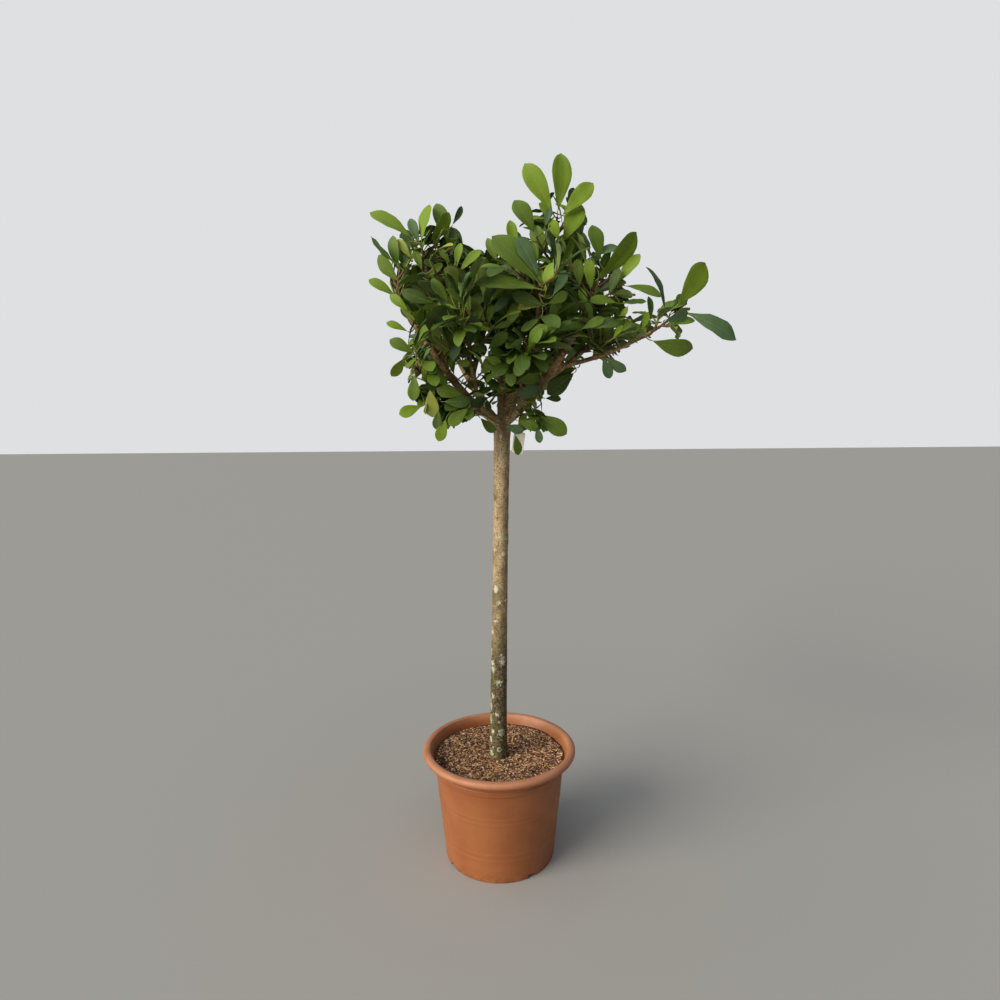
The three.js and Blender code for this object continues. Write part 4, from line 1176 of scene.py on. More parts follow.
def twigStrand(twig, first, last):
    places, widths, plan = [], [], twigPlan
    steps = max(plan["fewest"], int(plan["points"] * (last - first)))
    for k in range(steps + 1):
        t = lerp(first, last, k / steps)
        node = (0.5 + 0.5 * math.cos(2 * math.pi * t * plan["nodes"])) ** plan["nodeSharpness"]
        places.append(pointOn(twig["curve"], t))
        widths.append(lerp(*twig["radii"], t) * (plan["between"] + plan["nodeSwell"] * node))
    return places, widths


# Stems are woody all along, side twigs and stalks green, and the other twigs change half way
def makeTwigs(twigs):
    middle, parts = twigPlan["greenFrom"], {name: [] for name in twigLooks}
    for twig in twigs:
        end = twigEnd(twig)
        if twig["kind"] in ("side", "stalk"):
            parts["greenShoots"].append(twigStrand(twig, 0, end))
            continue
        woodyEnd = 1 if twig["kind"] == "stem" else min(end, middle + twigPlan["overlap"])
        parts["woodyTwigs"].append(twigStrand(twig, 0, woodyEnd))
        if twig["kind"] != "stem" and end > middle + twigPlan["shortest"]:
            parts["greenShoots"].append(twigStrand(twig, middle, end))
    tree, pieces = tubeTree(), []
    for name, look in twigLooks.items():
        piece = strands(name, parts[name])
        material, _, _ = newMaterial(look["material"], srgb(*look["colour"]), look["rough"])
        runTree(piece, tree, {"Sides": look["sides"], "Material": material})
        pieces.append(plainMesh(piece, name))
    return pieces


# Leaf forms, one unit long: obovate, with a short point, folded at the midrib and arched
leafOutline = [(0.08, 0.05), (0.17, 0.25), (0.29, 0.49), (0.42, 0.74), (0.54, 0.92), (0.65, 1.0),
               (0.75, 0.98), (0.84, 0.84), (0.91, 0.62), (0.957, 0.37), (0.985, 0.13), (1.0, 0.02)]
leafForms = [
    {"width": 0.350, "fold": 0.20, "arch": 0.09, "twist": 4, "wave": 0.010},
    {"width": 0.325, "fold": 0.30, "arch": 0.05, "twist": -8, "wave": 0.006},
    {"width": 0.370, "fold": 0.14, "arch": 0.13, "twist": 9, "wave": 0.014},
    {"width": 0.355, "fold": 0.24, "arch": 0.17, "twist": -4, "wave": 0.008},
    {"width": 0.335, "fold": 0.10, "arch": 0.03, "twist": 14, "wave": 0.016},
    {"width": 0.470, "fold": 0.12, "arch": 0.10, "twist": 6, "wave": 0.010},
    {"width": 0.440, "fold": 0.18, "arch": 0.07, "twist": -7, "wave": 0.012},
]
bladePlan = {"across": (-1, -0.55, 0, 0.55, 1), "waves": 17, "bulge": 0.02, "thickness": 0.0055,
             "bow": 0.03, "archFrom": 2.4, "shorten": 0.04}
bladeRound = 2 * len(bladePlan["across"]) - 2  # points round a blade: over its upper side and back under it


def leafCentre(form, t):
    rise = bladePlan["bow"] * math.sin(math.pi * t) - form["arch"] * t ** bladePlan["archFrom"]
    return np.array((0, t * (1 - bladePlan["shorten"] * form["arch"]), rise))


# One round of the blade's points
def bladeRow(form, t, share):
    half = form["width"] / 2 * share
    angle = math.radians(form["twist"] * t)
    centre, top = leafCentre(form, t), []
    for u in bladePlan["across"]:
        wave = form["wave"] * math.sin(t * bladePlan["waves"] + u * 2 + form["twist"]) * abs(u)
        lift = half * form["fold"] * abs(u) + bladePlan["bulge"] * share * math.sin(math.pi * abs(u)) + wave
        x, z = u * half, lift
        top.append(centre + np.array((x * math.cos(angle) - z * math.sin(angle), 0,
                                      x * math.sin(angle) + z * math.cos(angle))))
    return top + [top[k] - np.array((0, 0, bladePlan["thickness"])) for k in (3, 2, 1)]


def makeBlade(name, form):
    points = [point for t, share in leafOutline for point in bladeRow(form, t, share)]
    n = bladeRound
    faces, underside, last = [], [], len(points) - n
    for first in range(0, last, n):
        for k in range(n):
            a, b, below = first + k, first + (k + 1) % n, k >= n // 2
            faces += [(a, b, a + n), (b, b + n, a + n)] if below else [(a, b, b + n), (a, b + n, a + n)]
            underside += [below, below]
    faces += [tuple(range(n - 1, -1, -1)), tuple(range(last, last + n))]
    mesh = meshFrom(name, points, faces)
    addAttribute(mesh, "underside", "BOOLEAN", "FACE", underside + [True, True])
    columns = [(1 + u) / 2 for u in bladePlan["across"]]  # how far across the blade each point lies
    columns += columns[3:0:-1]
    layer = mesh.uv_layers.new(name="leafMap")
    for loop in mesh.loops:
        row, column = divmod(loop.vertex_index, n)
        layer.data[loop.index].uv = (columns[column], leafOutline[row][0])
    margins = [{v % n for v in edge.vertices} in ({0}, {n // 2}) for edge in mesh.edges]
    addAttribute(mesh, "sharp_edge", "BOOLEAN", "EDGE", margins)
    return linkObject(name, mesh)


# The pale midrib runs on from the leaf's stalk, a little proud of the blade on both sides. Its rings have
# a place along the leaf and a radius, for a leaf one unit long.
ribPlan = {"colour": (150, 164, 84), "rough": 0.5, "turns": (90, 162, 234, 306, 18), "sunk": 0.45,
           "tall": 1.15,
           "rings": [(-0.005, 0.011), (0.05, 0.0085), (0.11, 0.0085), (0.25, 0.0075), (0.45, 0.006),
                     (0.65, 0.0045), (0.82, 0.003), (0.95, 0.0012)]}


def makeRib(name, form):
    points = []
    for t, radius in ribPlan["rings"]:
        centre = leafCentre(form, max(t, 0)) + np.array((0, min(t, 0), -ribPlan["sunk"] * radius))
        for turn in (math.radians(degrees) for degrees in ribPlan["turns"]):
            x, z = radius * math.cos(turn), radius * math.sin(turn) * ribPlan["tall"]
            points.append(centre + np.array((x, 0, z)))
    return ringSolid(name, points, len(ribPlan["turns"]))


def formsIn(tree, collection):
    return addNode(tree, "GeometryNodeCollectionInfo",
                   {"Collection": collection, "Separate Children": True, "Reset Children": True}
                   ).outputs["Instances"]


def dropForms(*collections):
    for form in [form for collection in collections for form in collection.objects]:
        bpy.data.objects.remove(form)


def formCollection(name, pieces):
    collection = bpy.data.collections.new(name)
    for piece in pieces:
        collection.objects.link(piece)
        bpy.context.scene.collection.objects.unlink(piece)
    return collection


# Sprays: one form on each point, turned and sized by the point's own values
def sprayTree():
    tree, start, end = newTree("sprays", {"Forms": "Collection", "Upper": "Material", "Under": "Material"})
    forms = formsIn(tree, start.outputs["Forms"])
    rotation = addNode(tree, "FunctionNodeEulerToRotation", {0: attributeOn(tree, "turn", "FLOAT_VECTOR")})
    placed = addNode(tree, "GeometryNodeInstanceOnPoints",
                     {"Points": start.outputs["Geometry"], "Instance": forms,
                      "Pick Instance": True, "Instance Index": attributeOn(tree, "form", "INT"),
                      "Rotation": rotation.outputs["Rotation"], "Scale": attributeOn(tree, "size", "FLOAT")})
    upper = endTree(tree, placed.outputs["Instances"], start.outputs["Upper"], end)
    dressed = addNode(tree, "GeometryNodeSetMaterial",
                      {"Geometry": upper.outputs["Geometry"], "Material": start.outputs["Under"],
                       "Selection": attributeOn(tree, "underside", "BOOLEAN")})
    tree.links.new(dressed.outputs["Geometry"], end.inputs["Geometry"])
    return tree


def eulerOf(direction, side, top):
    return tuple(Matrix((-side, direction, top)).transposed().to_euler())


def makeSpray(name, spots, forms, tree, upper, under):
    mesh = meshFrom(name, [place * mm for place, _, _, _ in spots], ())
    addAttribute(mesh, "turn", "FLOAT_VECTOR", "POINT", [turn for _, turn, _, _ in spots])
    addAttribute(mesh, "size", "FLOAT", "POINT", [size * mm for _, _, size, _ in spots])
    addAttribute(mesh, "form", "INT", "POINT", [form for _, _, _, form in spots])
    piece = linkObject(name, mesh)
    runTree(piece, tree, {"Forms": forms, "Upper": upper, "Under": under})
    return plainMesh(piece, name)


leafGloss = {"upper": 0.58, "under": 0.66, "specular": 0.34}
veinPlan = {"count": 15, "slant": -0.34, "width": 0.16, "strength": 0.35, "depth": 0.0006}
leafTints = {  # upper side, underside
    # The deep green is partly the older leaves' own colour and partly painted shade, dealt to low leaves and
    # to leaves in shade
    "deep": ((74, 98, 34), (104, 124, 66)),
    "mid": ((100, 126, 38), (126, 146, 74)),
    # A bluish green: a painted reflection of the pale sky on the glossy leaf tops
    "cool": ((88, 116, 74), (118, 138, 90)),
    # A yellow-green: partly the young leaves' own colour and partly painted light, the glow of a leaf lit
    # from behind
    "fresh": ((122, 150, 36), (146, 166, 66)),
    "pale": ((156, 166, 74), (166, 178, 96)),
}


# Side veins show as fine raised lines that run from the midrib to the margin
def leafMaterial(name, colour, roughness):
    material, tree, shader = newMaterial(name, srgb(*colour), roughness,
                                         Specular_IOR_Level=leafGloss["specular"])
    spot = addNode(tree, "ShaderNodeUVMap", uv_map="leafMap").outputs["UV"]
    parts = addNode(tree, "ShaderNodeSeparateXYZ", {"Vector": spot})
    away = mathOn(tree, "ABSOLUTE", mathOn(tree, "SUBTRACT", parts.outputs["X"], 0.5))
    along = mathOn(tree, "MULTIPLY_ADD", away, veinPlan["slant"], parts.outputs["Y"])
    line = mathOn(tree, "PINGPONG", mathOn(tree, "MULTIPLY", along, veinPlan["count"]), 0.5)
    vein = ranged(tree, line, 0.0, veinPlan["width"], 1, 0)
    bumpOn(tree, shader, vein, veinPlan["strength"], veinPlan["depth"])
    return material


def makeLeaves(leaves):
    blades = formCollection("bladeForms", [makeBlade(f"blade{k}", form) for k, form in enumerate(leafForms)])
    ribs = formCollection("ribForms", [makeRib(f"rib{k}", form) for k, form in enumerate(leafForms)])
    ribMaterial, _, _ = newMaterial("midrib", srgb(*ribPlan["colour"]), ribPlan["rough"])
    tree, pieces = sprayTree(), []
    spots = {tint: [] for tint in leafTints}
    for leaf in leaves:
        turn = eulerOf(leaf["direction"], leaf["side"], leaf["top"])
        spots[leaf["tint"]].append((leaf["base"], turn, leaf["length"], leaf["form"]))
    for tint, (upper, under) in leafTints.items():
        top = leafMaterial(tint + "Leaf", upper, leafGloss["upper"])
        below = leafMaterial(tint + "Underside", under, leafGloss["under"])
        pieces.append(makeSpray(tint + "Leaves", spots[tint], blades, tree, top, below))
    every = [spot for tint in leafTints for spot in spots[tint]]
    pieces.append(makeSpray("midribs", every, ribs, tree, ribMaterial, ribMaterial))
    dropForms(blades, ribs)
    return pieces


budPlan = {"length": (8, 15), "lean": 14, "sides": 6, "width": 0.13, "bend": 0.05, "fromEnd": 0.95,
           "at": 0.99, "seed": 83, "colour": (140, 120, 58), "rough": 0.5,
           "rings": [(-0.05, 0.7), (0.15, 1.0), (0.45, 0.75), (0.78, 0.34), (1.0, 0.04)]}


def makeBud(name):
    points, width, sides = [], budPlan["width"], budPlan["sides"]
    for y, radius in budPlan["rings"]:
        for k in range(sides):
            turn = math.radians(360 / sides * k)
            points.append((width * radius * math.cos(turn) + budPlan["bend"] * y * y, y,
                           width * radius * math.sin(turn)))
    return ringSolid(name, points, sides)


def makeBuds(twigs):
    random, spots = seededNumbers(budPlan["seed"]), []
    for twig in [twig for twig in twigs if twig["kind"] != "stalk" and twigEnd(twig) > budPlan["fromEnd"]]:
        axis = headingOn(twig["curve"], 1)
        direction = turnedFrom(axis, random() * 360, random() * budPlan["lean"])
        front, _ = across(direction)
        turn = eulerOf(direction, np.cross(front, direction), front)
        spots.append((pointOn(twig["curve"], budPlan["at"]), turn, lerp(*budPlan["length"], random()), 0))
    budSkin, _, _ = newMaterial("bud", srgb(*budPlan["colour"]), budPlan["rough"])
    forms = formCollection("budForms", [makeBud("bud0")])
    piece = makeSpray("buds", spots, forms, sprayTree(), budSkin, budSkin)
    dropForms(forms)
    return piece


# A small blank tag hangs by a thin loop from the branch at the right of the fork
tagPlan = {"branch": "forkRightBranch", "at": 0.32, "width": 38, "height": 66, "thickness": 0.8, "corner": 4,
           "cornerStep": 30, "drop": 48, "overlap": 5, "lean": 9, "turn": -26, "curl": 4, "loop": 0.9,
           "loopSides": 6, "loopGap": 1.4, "loopStep": 20, "rough": 0.6,
           "soiling": (60, 4, 0.45, 0.7, 0.55, 0, 0.6), "grain": (500, 2), "bump": (0.15, 0.0002)}
tagColours = {"card": (252, 250, 236), "soiled": (228, 222, 198), "loop": (206, 200, 176)}


def tagOutline():
    w, h, r, step = (tagPlan[key] for key in ("width", "height", "corner", "cornerStep"))
    w /= 2
    corners = [(w - r, -h + r, -90), (w - r, -r, 0), (r - w, -r, 90), (r - w, -h + r, 180)]
    return [(x + r * math.cos(math.radians(turn)), z + r * math.sin(math.radians(turn)))
            for x, z, start in corners for turn in range(start, start + 91, step)]


def tagMaterial():
    tone = tonesOf(tagColours)
    material, tree, shader = newMaterial("tagCard", tone["card"], tagPlan["rough"])
    place = objectPlace(tree)
    colour = mixed(tree, patchy(tree, place, *tagPlan["soiling"]), tone["card"], tone["soiled"])
    tree.links.new(colour, shader.inputs["Base Color"])
    bumpOn(tree, shader, noiseOn(tree, place, *tagPlan["grain"]), *tagPlan["bump"])
    return material


# The loop runs from the eyelet round the branch and back
def makeTagLoop(hub, radius, axis, eyelet):
    front, side = across(axis)
    turns = [math.radians(turn) for turn in range(0, 361, tagPlan["loopStep"])]
    ring = [hub + (front * math.cos(turn) + side * math.sin(turn)) * radius for turn in turns]
    lowest = int(np.argmin([place[2] for place in ring]))
    end = eyelet - upward * tagPlan["overlap"]
    loop = [end] + ring[lowest:] + ring[1:lowest + 1] + [end]
    piece = strands("tagLoop", [(loop, [tagPlan["loop"]] * len(loop))])
    material, _, _ = newMaterial("tagLoop", srgb(*tagColours["loop"]), tagPlan["rough"])
    runTree(piece, tubeTree(), {"Sides": tagPlan["loopSides"], "Material": material})
    return plainMesh(piece, "tagLoop")


def makeTagCard(eyelet):
    plan, outline, points = tagPlan, tagOutline(), []
    pose = (Matrix.Rotation(math.radians(plan["turn"]), 3, "Z")
            @ Matrix.Rotation(math.radians(plan["lean"]), 3, "Y"))
    for y in (-plan["thickness"] / 2, plan["thickness"] / 2):
        for x, z in outline:
            bow = plan["curl"] * (2 * x / plan["width"]) ** 2
            points.append((Vector(eyelet) + pose @ Vector((x, y + bow, z))) * mm)
    n, faces = len(outline), []
    rows = [(k, n - 1 - k) for k in range(n // 2)]
    for (a, b), (c, d) in zip(rows, rows[1:]):
        faces += [(a, c, d, b), (n + b, n + d, n + c, n + a)]
    faces += [(k, n + k, n + (k + 1) % n, (k + 1) % n) for k in range(n)]
    card = linkObject("tagCard", meshFrom("tagCard", points, faces))
    card.data.materials.append(tagMaterial())
    return card


def makeTag():
    carrier, t = curves[tagPlan["branch"]], tagPlan["at"]
    hub, radius = pointOn(carrier, t), limbRadius(tagPlan["branch"], t) + tagPlan["loopGap"]
    eyelet = hub - upward * (radius + tagPlan["drop"])
    return [makeTagCard(eyelet), makeTagLoop(hub, radius, headingOn(carrier, t), eyelet)]


# Pot: a turned shell with a rolled rim, a collar over a small step, moulded rings and drain notches
potPlan = {"height": 370, "rim": 250, "rimDepth": 24, "lip": 226, "collar": 219, "collarFoot": 306, "step": 4,
           "bodyTop": 210, "foot": 180, "footRound": 4, "wall": 4, "floor": 15, "sides": 168,
           "rings": (223, 205, 97, 77), "ringHeight": 1.0, "ringWidth": 4.5, "bodySteps": 76, "groove": 323,
           "grooveDepth": 1.6, "grooveWidth": 2.6, "collarSteps": 24, "roll": 10.5, "rollHeight": 11.5,
           "rollFrom": -80, "rollTo": 88, "rollSteps": 12, "sharpFrom": 38}
# How the section bends outwards and up at the collar's foot, under the rim and at the lip
potBends = {"step": [(0.6, -2.6), (3.2, -1), (4, 1)], "rim": [(1, -3), (5, -1)],
            "lip": [(7, -0.4), (2, -2), (0, -6)]}
notchPlan = {"count": 4, "width": 28, "height": 11, "depth": 44, "firstTurn": 33}


# A rounded swelling or groove: full in its middle, none beyond its width
def bulge(away, width):
    return max(0, 1 - (away / width) ** 2)


# Half of the pot's section, from the middle of its underside out, up round the rim and down inside
def potProfile():
    p = potPlan
    edge, bodyEnd = p["height"] - p["rimDepth"], p["collarFoot"] - p["step"]
    outside = [(0, 0), (p["foot"] - p["footRound"], 0), (p["foot"] - 1, 1), (p["foot"], p["footRound"])]
    for k in range(1, p["bodySteps"] + 1):
        z = lerp(p["footRound"], bodyEnd, k / p["bodySteps"])
        r = lerp(p["foot"], p["bodyTop"], (z - p["footRound"]) / (bodyEnd - p["footRound"]))
        rise = sum(bulge(z - ring, p["ringWidth"]) for ring in p["rings"])
        outside.append((r + rise * p["ringHeight"], z))
    outside += [(p["bodyTop"] + out, p["collarFoot"] + up) for out, up in potBends["step"]]
    for k in range(p["collarSteps"] + 1):
        share = k / p["collarSteps"]
        z = lerp(p["collarFoot"] + 3, edge - 6, share)
        groove = p["grooveDepth"] * bulge(z - p["groove"], p["grooveWidth"])
        outside.append((lerp(p["bodyTop"] + p["step"], p["collar"] - 1, share) - groove, z))
    outside += [(p["collar"] + out, edge + up) for out, up in potBends["rim"]]
    outside.append((p["rim"] - 12, edge - 0.5))
    for k in range(1, p["rollSteps"] + 1):
        turn = math.radians(lerp(p["rollFrom"], p["rollTo"], k / p["rollSteps"]))
        outside.append((p["rim"] - p["roll"] + p["roll"] * math.cos(turn),
                        edge + p["rollHeight"] + p["rollHeight"] * math.sin(turn)))
    outside.append((p["rim"] - 14, p["height"]))
    outside += [(p["lip"] + out, p["height"] + up) for out, up in potBends["lip"]]
    inside = [(p["collar"] - p["wall"] + 2, edge), (p["bodyTop"] - p["wall"], bodyEnd),
              (p["foot"] - p["wall"], p["floor"]), (0, p["floor"])]
    return outside + inside


def turnedSolid(name, profile, sides):
    points, faces, rings = [], [], []
    for radius, height in profile:
        count = sides if radius else 1  # a point on the axis is one pole
        rings.append([len(points) + k % count for k in range(sides)])
        points += circle(radius, height, count)
    for lower, upper in zip(rings, rings[1:]):
        for k in range(sides):
            n = (k + 1) % sides
            faces.append(tuple(dict.fromkeys((lower[k], lower[n], upper[n], upper[k]))))
    return linkObject(name, meshFrom(name, points, faces))


def notchCutter():
    points, faces, plan = [], [], notchPlan
    for k in range(plan["count"]):
        turn = Matrix.Rotation(math.radians(plan["firstTurn"] + k * 360 / plan["count"]), 4, "Z")
        faces += [tuple(len(points) + n for n in face) for face in
                  ((0, 1, 3, 2), (4, 6, 7, 5), (0, 4, 5, 1), (2, 3, 7, 6), (0, 2, 6, 4), (1, 5, 7, 3))]
        for x, y, z in [(x, y, z) for x in (-1, 1) for y in (-1, 1) for z in (-1, 1)]:
            corner = (x * plan["width"] / 2, -potPlan["foot"] + y * plan["depth"] / 2, z * plan["height"])
            points.append(turn @ Vector(corner) * mm)
    return linkObject("notches", meshFrom("notches", points, faces))


potColours = {"clay": (171, 104, 58), "worn": (160, 93, 50), "dust": (194, 134, 100), "stain": (116, 72, 46)}
# Heights in metres over which the rim's dust sets in and up to which the foot is stained
potLook = {"dustFrom": (0.345, 0.366), "stainTo": 0.05, "stainMost": 0.5, "rough": 0.5,
           "grain": (480, 3, 0.6), "bump": (0.1, 0.0004)}
potPatterns = {"worn": (6, 4, 0.38, 0.66), "dust": (14, 4, 0.3, 0.6, 0.55, 0.55, 1),
               "stain": (40, 5, 0.42, 0.62, 0.65), "specks": (230, 3, 0.7, 0.78, 0.6, 0, 0.4),
               "rough": (30, 4, 0.3, 0.7, 0.55, 0.46, 0.62)}


def potMaterial():
    material, tree, shader = newMaterial("potPlastic", srgb(*potColours["clay"]), potLook["rough"])
    tone, place = tonesOf(potColours), objectPlace(tree)
    marks = {name: patchy(tree, place, *pattern) for name, pattern in potPatterns.items()}
    height = addNode(tree, "ShaderNodeSeparateXYZ", {"Vector": place}).outputs["Z"]
    rim = ranged(tree, height, *potLook["dustFrom"])
    foot = ranged(tree, height, 0.0, potLook["stainTo"], potLook["stainMost"], 0)
    colour = mixed(tree, marks["worn"], tone["clay"], tone["worn"])
    colour = mixed(tree, mathOn(tree, "MULTIPLY", rim, marks["dust"]), colour, tone["dust"])
    colour = mixed(tree, mathOn(tree, "MULTIPLY", foot, marks["stain"]), colour, tone["stain"])
    colour = mixed(tree, marks["specks"], colour, tone["stain"])
    tree.links.new(colour, shader.inputs["Base Color"])
    tree.links.new(marks["rough"], shader.inputs["Roughness"])
    bumpOn(tree, shader, noiseOn(tree, place, *potLook["grain"]), *potLook["bump"])
    return material


def makePot():
    shell = turnedSolid("potShell", potProfile(), potPlan["sides"])
    cutter = notchCutter()
    cut = shell.modifiers.new("notches", "BOOLEAN")
    cut.operation, cut.solver, cut.object = "DIFFERENCE", "EXACT", cutter
    pot = plainMesh(shell, "potShell")
    bpy.data.objects.remove(cutter)
    pot.data.materials.clear()
    pot.data.materials.append(potMaterial())
    pot.data.shade_smooth()
    pot.data.set_sharp_from_angle(angle=math.radians(potPlan["sharpFrom"]))
    return pot


# Soil: a bed with hollows near the wall, under loose chips of bark
soilPlan = {"level": 331, "edge": 339, "rings": 34, "sides": 120, "centre": 4, "radius": 213.5, "pad": 40,
            "below": [(205, 301), (174.5, 16)], "lump": 42, "lumpHeight": 4.2, "lumpShape": (0.9, 2.1, 4),
            "slice": 3.1, "calm": (30, 75), "rough": 0.95, "crumbs": (90, 5, 0.4, 0.62, 0.7),
            "grain": (170, 6, 0.7), "bump": (0.9, 0.004),
            "hollows": [(-188, -60, 28, 26), (-150, -120, 30, 9), (118, -110, 18, 20), (-40, 165, 50, 6),
                        (170, 60, 40, 6), (40, -90, 60, 3)]}
soilColours = {"shade": (52, 34, 25), "crumb": (112, 74, 54)}
chipPlan = {"inner": 34, "outer": 206, "smallest": 0.0045, "largest": 0.012, "bend": 0.26, "forms": 4,
            "steps": 4, "width": 0.2, "thickness": 0.08, "uneven": 0.05, "ends": 0.6, "belly": 0.4,
            "bellyFrom": 0.6, "bellyLeast": 0.7, "bellyMore": 0.6, "seed": 11, "seedStep": 7, "tilt": 0.5,
            "spin": 6.283, "bendFrom": 0.3, "bare": 0.97, "rough": 0.9, "stretch": (1, 1, 2),
            "grain": (260, 4, 0.7), "bump": (0.5, 0.001)}
# Chips are left out at these spots so that the dark bed shows: painted shade in the hollows by the left wall,
# in a small hole at the front right and behind the stem
bareShadedSpots = [(-188, -62, 40), (-152, -126, 26), (118, -112, 16), (-88, -176, 22), (-184, -14, 20),
             (30, 60, 12)]  # x, y and width
chipKinds = {  # colour, number and seed
    "chipsDark": ((78, 55, 42), 2100, 5), "chipsBrown": ((138, 98, 70), 2500, 17),
    "chipsGold": ((200, 152, 106), 2200, 29), "chipsPale": ((226, 196, 156), 760, 41),
}


def fall(x, y, cx, cy, width):
    return math.exp(-((x - cx) ** 2 + (y - cy) ** 2) / width ** 2)


# The soil rises to the wall, and is lumpy and hollowed except close round the stem
def soilHeight(x, y):
    plan, away = soilPlan, math.hypot(x, y)
    rise = float(smoothstep(away, plan["pad"], plan["radius"])) * (plan["edge"] - plan["level"])
    place = Vector((x / plan["lump"], y / plan["lump"], plan["slice"]))
    lumps = noise.fractal(place, *plan["lumpShape"]) * plan["lumpHeight"]
    dip = sum(depth * fall(x, y, cx, cy, width) for cx, cy, width, depth in plan["hollows"])
    return plan["level"] + rise + (lumps - dip) * float(smoothstep(away, *plan["calm"]))


def chipCover(point):
    x, y = point[0] / mm, point[1] / mm
    return min(1 - chipPlan["bare"] * fall(x, y, cx, cy, width) for cx, cy, width in bareShadedSpots)


def soilRings(inner, outer):
    points, sides = [], soilPlan["sides"]
    for j in range(soilPlan["rings"] + 1):
        r = lerp(inner, outer, j / soilPlan["rings"])
        for k in range(sides):
            x, y = r * math.cos(2 * math.pi * k / sides), r * math.sin(2 * math.pi * k / sides)
            points.append((x * mm, y * mm, soilHeight(x, y) * mm))
    return points


def soilMaterial():
    tone = tonesOf(soilColours)
    material, tree, shader = newMaterial("soilCrumb", tone["crumb"], soilPlan["rough"])
    place = objectPlace(tree)
    colour = mixed(tree, patchy(tree, place, *soilPlan["crumbs"]), tone["shade"], tone["crumb"])
    tree.links.new(colour, shader.inputs["Base Color"])
    bumpOn(tree, shader, noiseOn(tree, place, *soilPlan["grain"]), *soilPlan["bump"])
    return material


def makeSoilBed():
    points = soilRings(soilPlan["centre"], soilPlan["radius"])
    for radius, height in soilPlan["below"]:
        points += circle(radius, height, soilPlan["sides"])
    bed = ringSolid("soilBed", points, soilPlan["sides"])
    bed.data.materials.append(soilMaterial())
    bed.data.shade_smooth()
    return bed


# A chip of bark, one unit long: a thin strip that is bent and uneven
def makeChip(name, seed):
    random, plan, points = seededNumbers(seed), chipPlan, []
    bend = plan["bend"] * (random() - plan["bendFrom"])
    for k in range(plan["steps"]):
        x = k / (plan["steps"] - 1) - 0.5
        swell = plan["bellyLeast"] + plan["bellyMore"] * random()
        taper = plan["ends"] + plan["belly"] * math.sin(math.pi * (x + plan["bellyFrom"])) * swell
        for y, z in ((-1, -1), (1, -1), (1, 1), (-1, 1)):
            points.append((x, y * plan["width"] * taper, z * plan["thickness"] * taper
                           + bend * (1 - (2 * x) ** 2) + plan["uneven"] * random()))
    return ringSolid(name, points, 4)


def scatterTree():
    tree, start, end = newTree("scatteredChips", {"Forms": "Collection", "Number": "Float", "Seed": "Int",
                                                  "Smallest": "Float", "Largest": "Float",
                                                  "Material": "Material"})
    given = start.outputs
    density = mathOn(tree, "MULTIPLY", given["Number"], attributeOn(tree, "cover", "FLOAT"))
    spots = addNode(tree, "GeometryNodeDistributePointsOnFaces",
                    {"Mesh": given["Geometry"], "Density": density, "Seed": given["Seed"]},
                    distribute_method="RANDOM")
    forms = formsIn(tree, given["Forms"])
    most = chipPlan["tilt"]
    tilt = addNode(tree, "FunctionNodeRandomValue",
                   {0: (-most, -most, 0), 1: (most, most, chipPlan["spin"]), "Seed": given["Seed"]},
                   data_type="FLOAT_VECTOR")
    rotation = addNode(tree, "FunctionNodeEulerToRotation", {0: tilt.outputs[0]})
    size = addNode(tree, "FunctionNodeRandomValue",
                   {2: given["Smallest"], 3: given["Largest"], "Seed": given["Seed"]}, data_type="FLOAT")
    placed = addNode(tree, "GeometryNodeInstanceOnPoints",
                     {"Points": spots.outputs["Points"], "Instance": forms,
                      "Pick Instance": True, "Rotation": rotation.outputs["Rotation"],
                      "Scale": size.outputs[1]})
    endTree(tree, placed.outputs["Instances"], given["Material"], end, smooth=False)
    return tree


def chipMaterial(name, colour):
    material, tree, shader = newMaterial(name, srgb(*colour), chipPlan["rough"])
    place = objectPlace(tree, chipPlan["stretch"])
    bumpOn(tree, shader, noiseOn(tree, place, *chipPlan["grain"]), *chipPlan["bump"])
    return material


def makeChips():
    plan, tree, pieces = chipPlan, scatterTree(), []
    forms = formCollection("chipForms", [makeChip(f"chip{k}", plan["seed"] + plan["seedStep"] * k)
                                         for k in range(plan["forms"])])
    area = math.pi * (plan["outer"] ** 2 - plan["inner"] ** 2) * mm * mm
    points = soilRings(plan["inner"], plan["outer"])
    for name, (colour, number, seed) in chipKinds.items():
        mesh = meshFrom(name, points, ringFaces(points, soilPlan["sides"]))
        addAttribute(mesh, "cover", "FLOAT", "POINT", [chipCover(point) for point in points])
        bed = linkObject(name, mesh)
        runTree(bed, tree, {"Forms": forms, "Number": number / area, "Seed": seed,
                            "Smallest": plan["smallest"], "Largest": plan["largest"],
                            "Material": chipMaterial(name, colour)})
        pieces.append(plainMesh(bed, name))
    dropForms(forms)
    return pieces


# Floor and soft light: a low wide light from the left, a softer one from the roof, and a pale sky
studio = {"floor": (173, 171, 167), "floorHalf": 24, "sky": (214, 224, 236), "skyStrength": 0.12,
          "backdrop": (222, 224, 226)}
lightPlan = {
    "sideLight": {"turn": -56, "height": 22, "strength": 3.1, "size": 42, "colour": (255, 246, 230)},
    "roofLight": {"turn": -30, "height": 74, "strength": 1.2, "size": 75, "colour": (246, 250, 255)},
}


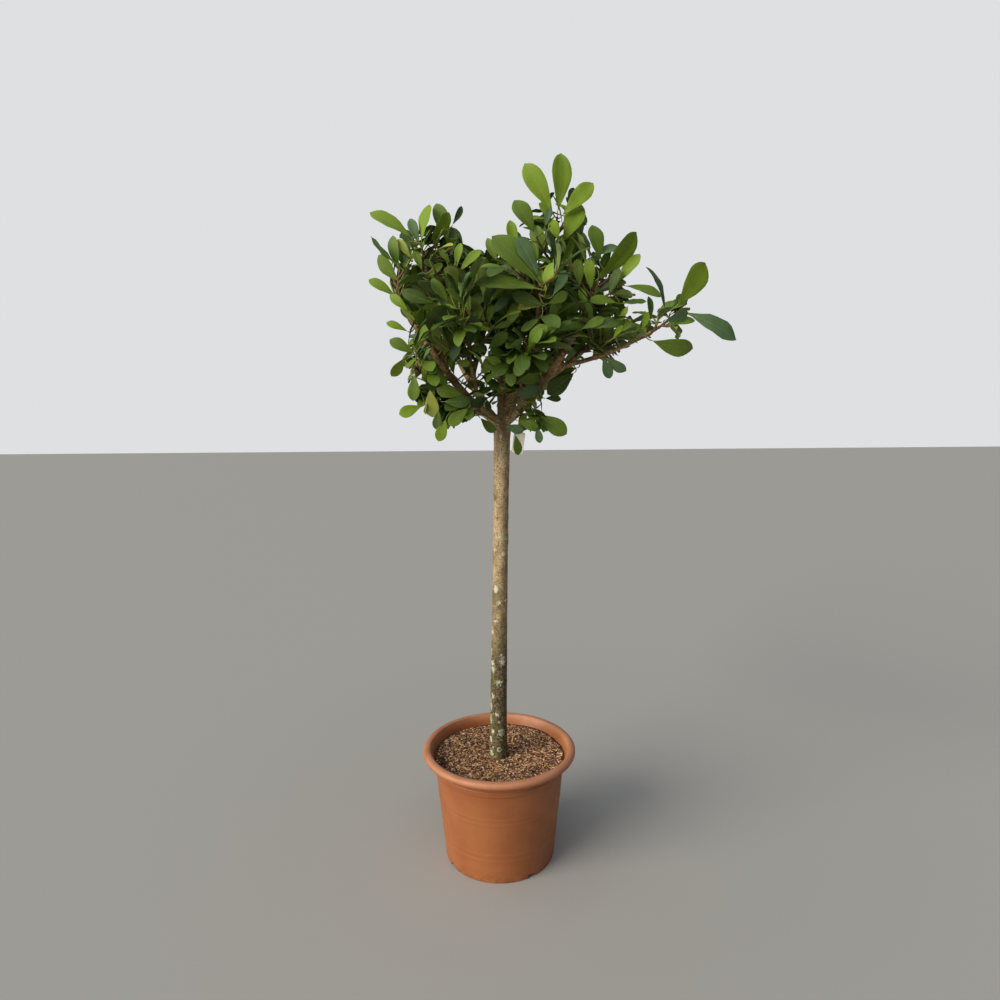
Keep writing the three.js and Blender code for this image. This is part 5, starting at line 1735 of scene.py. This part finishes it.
def makeSky():
    world = bpy.data.worlds.new("sky")
    world.use_nodes = True
    tree = world.node_tree
    light = tree.nodes["Background"]
    light.inputs["Color"].default_value = srgb(*studio["sky"])
    light.inputs["Strength"].default_value = studio["skyStrength"]
    seen = addNode(tree, "ShaderNodeBackground", {"Color": srgb(*studio["backdrop"]), "Strength": 1.0})
    ray = addNode(tree, "ShaderNodeLightPath").outputs["Is Camera Ray"]
    both = addNode(tree, "ShaderNodeMixShader",
                   {0: ray, 1: light.outputs["Background"], 2: seen.outputs["Background"]})
    tree.links.new(both.outputs["Shader"], tree.nodes["World Output"].inputs["Surface"])
    bpy.context.scene.world = world


def makeStudio():
    corners = [(x * studio["floorHalf"], y * studio["floorHalf"], 0) for x, y in
               ((-1, -1), (1, -1), (1, 1), (-1, 1))]
    floor = linkObject("floor", meshFrom("floor", corners, [(0, 1, 2, 3)]))
    floor.data.materials.append(newMaterial("floorPaint", srgb(*studio["floor"]), 0.9)[0])
    makeSky()
    for name, plan in lightPlan.items():
        light = bpy.data.lights.new(name, "SUN")
        light.energy, light.angle = plan["strength"], math.radians(plan["size"])
        light.color = srgb(*plan["colour"])[:3]
        towards = Vector(headed(plan["turn"], plan["height"]))
        linkObject(name, light).matrix_world = towards.to_track_quat("Z", "Y").to_matrix().to_4x4()
    view = bpy.context.scene.view_settings
    view.view_transform, view.look = "Standard", "None"
    return floor


makeCamera()
twigs, leaves = growCrown()
wood = makeWood()
print("stem and boughs:", len(wood.data.polygons), "faces")
twigPieces = makeTwigs(twigs)
leafPieces = makeLeaves(leaves)
buds = makeBuds(twigs)
tagPieces = makeTag()
print("twigs, leaves, buds and tag made")
pot = makePot()
bed = makeSoilBed()
chips = makeChips()
print("pot and soil made")
floor = makeStudio()

massNodes = [name + "Leaves" for name in massPlan]
for piece in [wood, pot, bed, buds] + twigPieces + leafPieces + chips + tagPieces:
    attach(piece, "root")
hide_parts("trunk", *limbPlan)
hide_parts(*massNodes)
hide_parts("pot")
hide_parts("soil")
